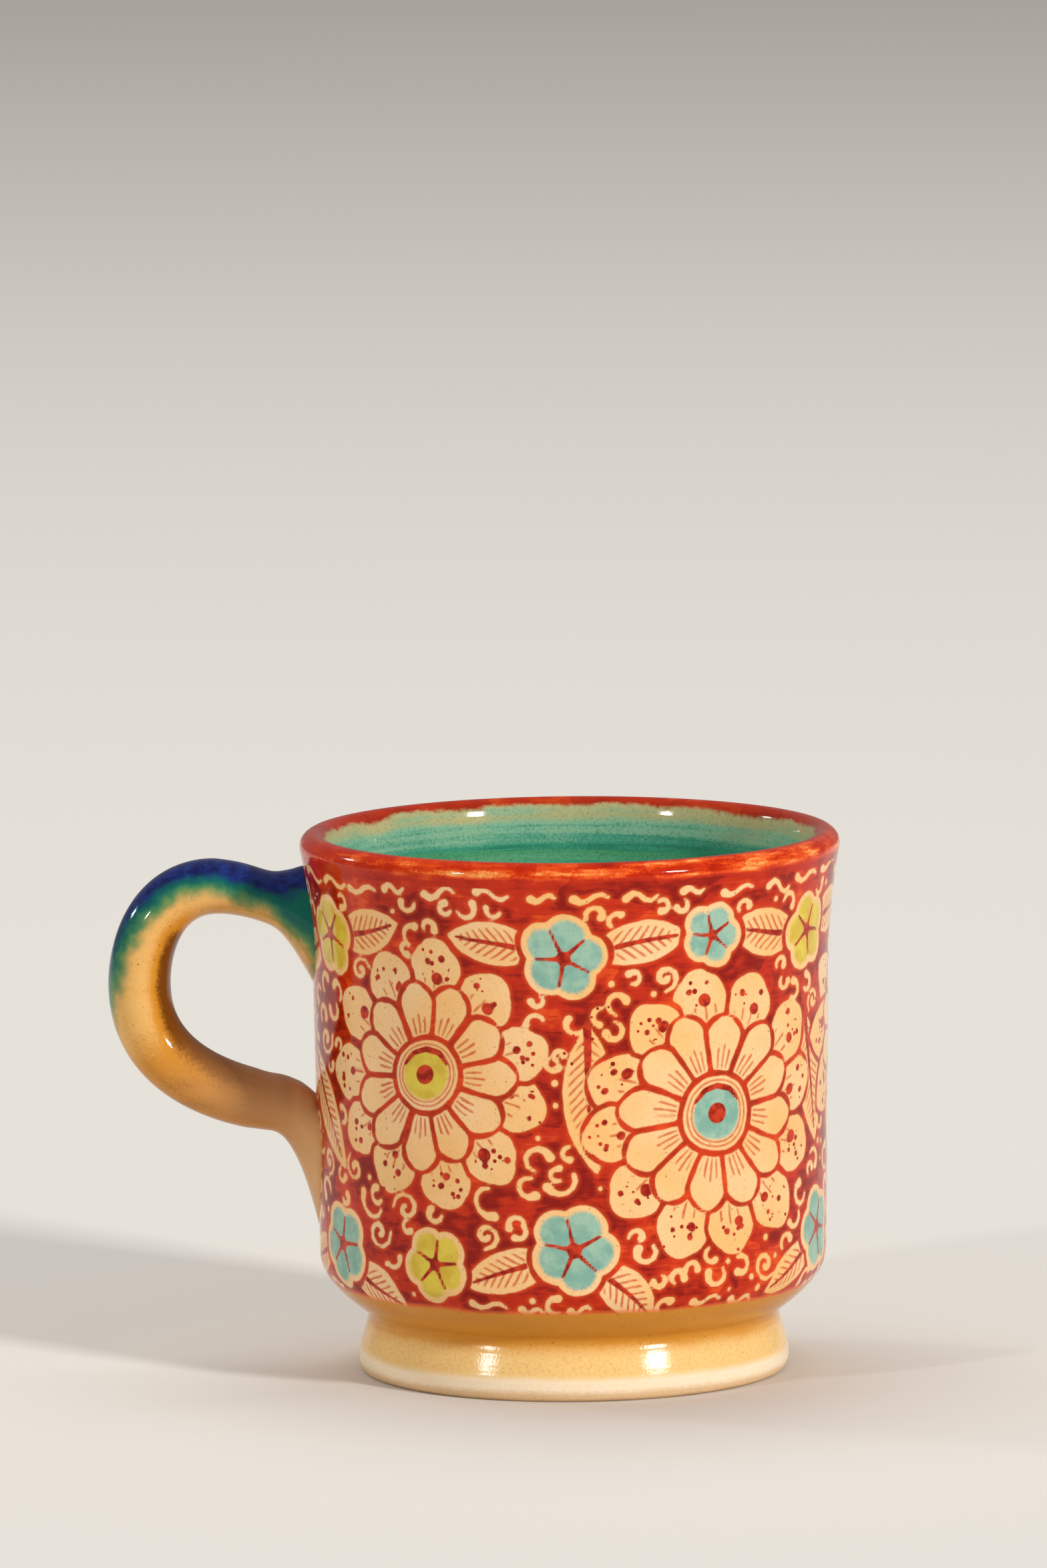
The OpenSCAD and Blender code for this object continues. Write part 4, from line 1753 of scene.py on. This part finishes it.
@dataclass(frozen=True)
class Studio:
    """The floor, the lights and the camera at the photograph's angle."""

    distance: float = 2.2
    eye_z: float = 0.3801
    pitch: float = -7.30
    yaw: float = 0.197
    roll: float = 0.54
    focal_px: float = 19963.0
    sensor: float = 36.0
    view_end: float = 50.0
    aim_z: float = 0.05
    floor_half: float = 8000.0
    floor_dark: Colour = (0.74, 0.71, 0.66)
    floor_light: Colour = (0.76, 0.73, 0.68)
    world_colour: Colour = (1.0, 0.97, 0.92)
    world_strength: float = 0.24
    lamps: tuple[Lamp, ...] = (
        Lamp("key", (4.11, -3.79, 2.25), (0.70, 0.42), 278.0),
        Lamp("fill", (-4.25, -3.63, 2.14), (0.35, 0.27), 77.0),
        Lamp("back", (-5.2, 2.40, 2.31), (0.62, 0.40), 46.0),
        Lamp("top", (-0.3, 0.7, 2.6), (2.4, 2.0), 38.0, False),
    )

    def camera(self) -> None:
        """Sets the camera that looks along +Y and a little down."""
        data = bpy.data.cameras.new("camera")
        data.sensor_fit = "VERTICAL"
        data.sensor_height = self.sensor
        data.lens = self.focal_px / PHOTO_HEIGHT * self.sensor
        data.clip_end = self.view_end
        made = bpy.data.objects.new("camera", data)
        bpy.context.scene.collection.objects.link(made)
        turn = Matrix.Identity(3)
        for angle, axis in ((self.yaw, "Z"), (self.pitch, "X"), (self.roll, "Y"), (90, "X")):
            turn @= Matrix.Rotation(math.radians(angle), 3, axis)
        made.matrix_world = Matrix.Translation((0, -self.distance, self.eye_z)) @ turn.to_4x4()
        bpy.context.scene.camera = made

    def floor(self) -> None:
        """Lays a plain pale floor."""
        bm = bmesh.new()
        bmesh.ops.create_grid(bm, x_segments=1, y_segments=1, size=self.floor_half)
        made = finished("floor", bm)
        graph = Graph("floor")
        colour = graph.blend(graph.noise(400.0), self.floor_dark, self.floor_light)
        inputs = {"Base Color": colour, "Roughness": 0.9, "Specular IOR Level": 0.0}
        shader = graph.node("ShaderNodeBsdfPrincipled", None, inputs)
        graph.node("ShaderNodeOutputMaterial", None, {"Surface": shader.outputs[0]})
        made.data.materials.append(graph.material)

    def light(self) -> None:
        """Hangs soft lamps round the mug, in a dim even world."""
        for lamp in self.lamps:
            lamp.hang(Vector((0, 0, self.aim_z)))
        world = bpy.data.worlds.new("world")
        world.use_nodes = True
        back = world.node_tree.nodes["Background"]
        back.inputs[0].default_value = (*self.world_colour, 1.0)
        back.inputs[1].default_value = self.world_strength
        bpy.context.scene.world = world


def dress(piece: bpy.types.Object, material: bpy.types.Material, slot: str, *nodes: str) -> None:
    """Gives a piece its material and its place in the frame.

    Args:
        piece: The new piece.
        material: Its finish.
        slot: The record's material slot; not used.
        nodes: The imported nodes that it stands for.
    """
    piece.data.materials.append(material)
    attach(piece, "root")
    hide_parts(*nodes)
    log.info("%s stands for %s: %d faces", piece.name, ", ".join(nodes), len(piece.data.polygons))


def main() -> None:
    """Builds and dresses every piece, then the studio."""
    logging.basicConfig(level=logging.INFO, format="%(message)s")
    bpy.context.scene.view_settings.view_transform = "Standard"
    outline = Outline.from_frame()
    slip, honey = RedSlip(), HoneyGlaze()
    wall = PaintedWall(outline)
    dress(wall.build(), wall.material(slip, honey, CreamGround()), "red_slip", "outer_slip")
    lip = LipAndLining().material(slip)
    dress(BrushedRim(outline).build(), lip, "rim_slip", "rim_slip")
    dress(GlazedLining(outline).build(), lip, "green_glaze", "inner_glaze")
    foot = GlazedFoot(outline)
    dress(foot.build(), foot.material(honey), "honey_glaze", "foot_glaze")
    crown = CrownedGlaze().material(honey)
    dress(LoopHandle(outline).build(), crown, "handle_clay", "handle_loop", "upper_join", "lower_join")
    clay = BareClay().material(honey)
    for name in ("cup_body", "foot_ring"):
        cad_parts[name].data.materials.clear()
        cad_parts[name].data.materials.append(clay)
        log.info("%s keeps its packed shape, in bare clay", name)
    studio = Studio()
    studio.floor()
    studio.light()
    studio.camera()


if __name__ == "__main__":
    main()
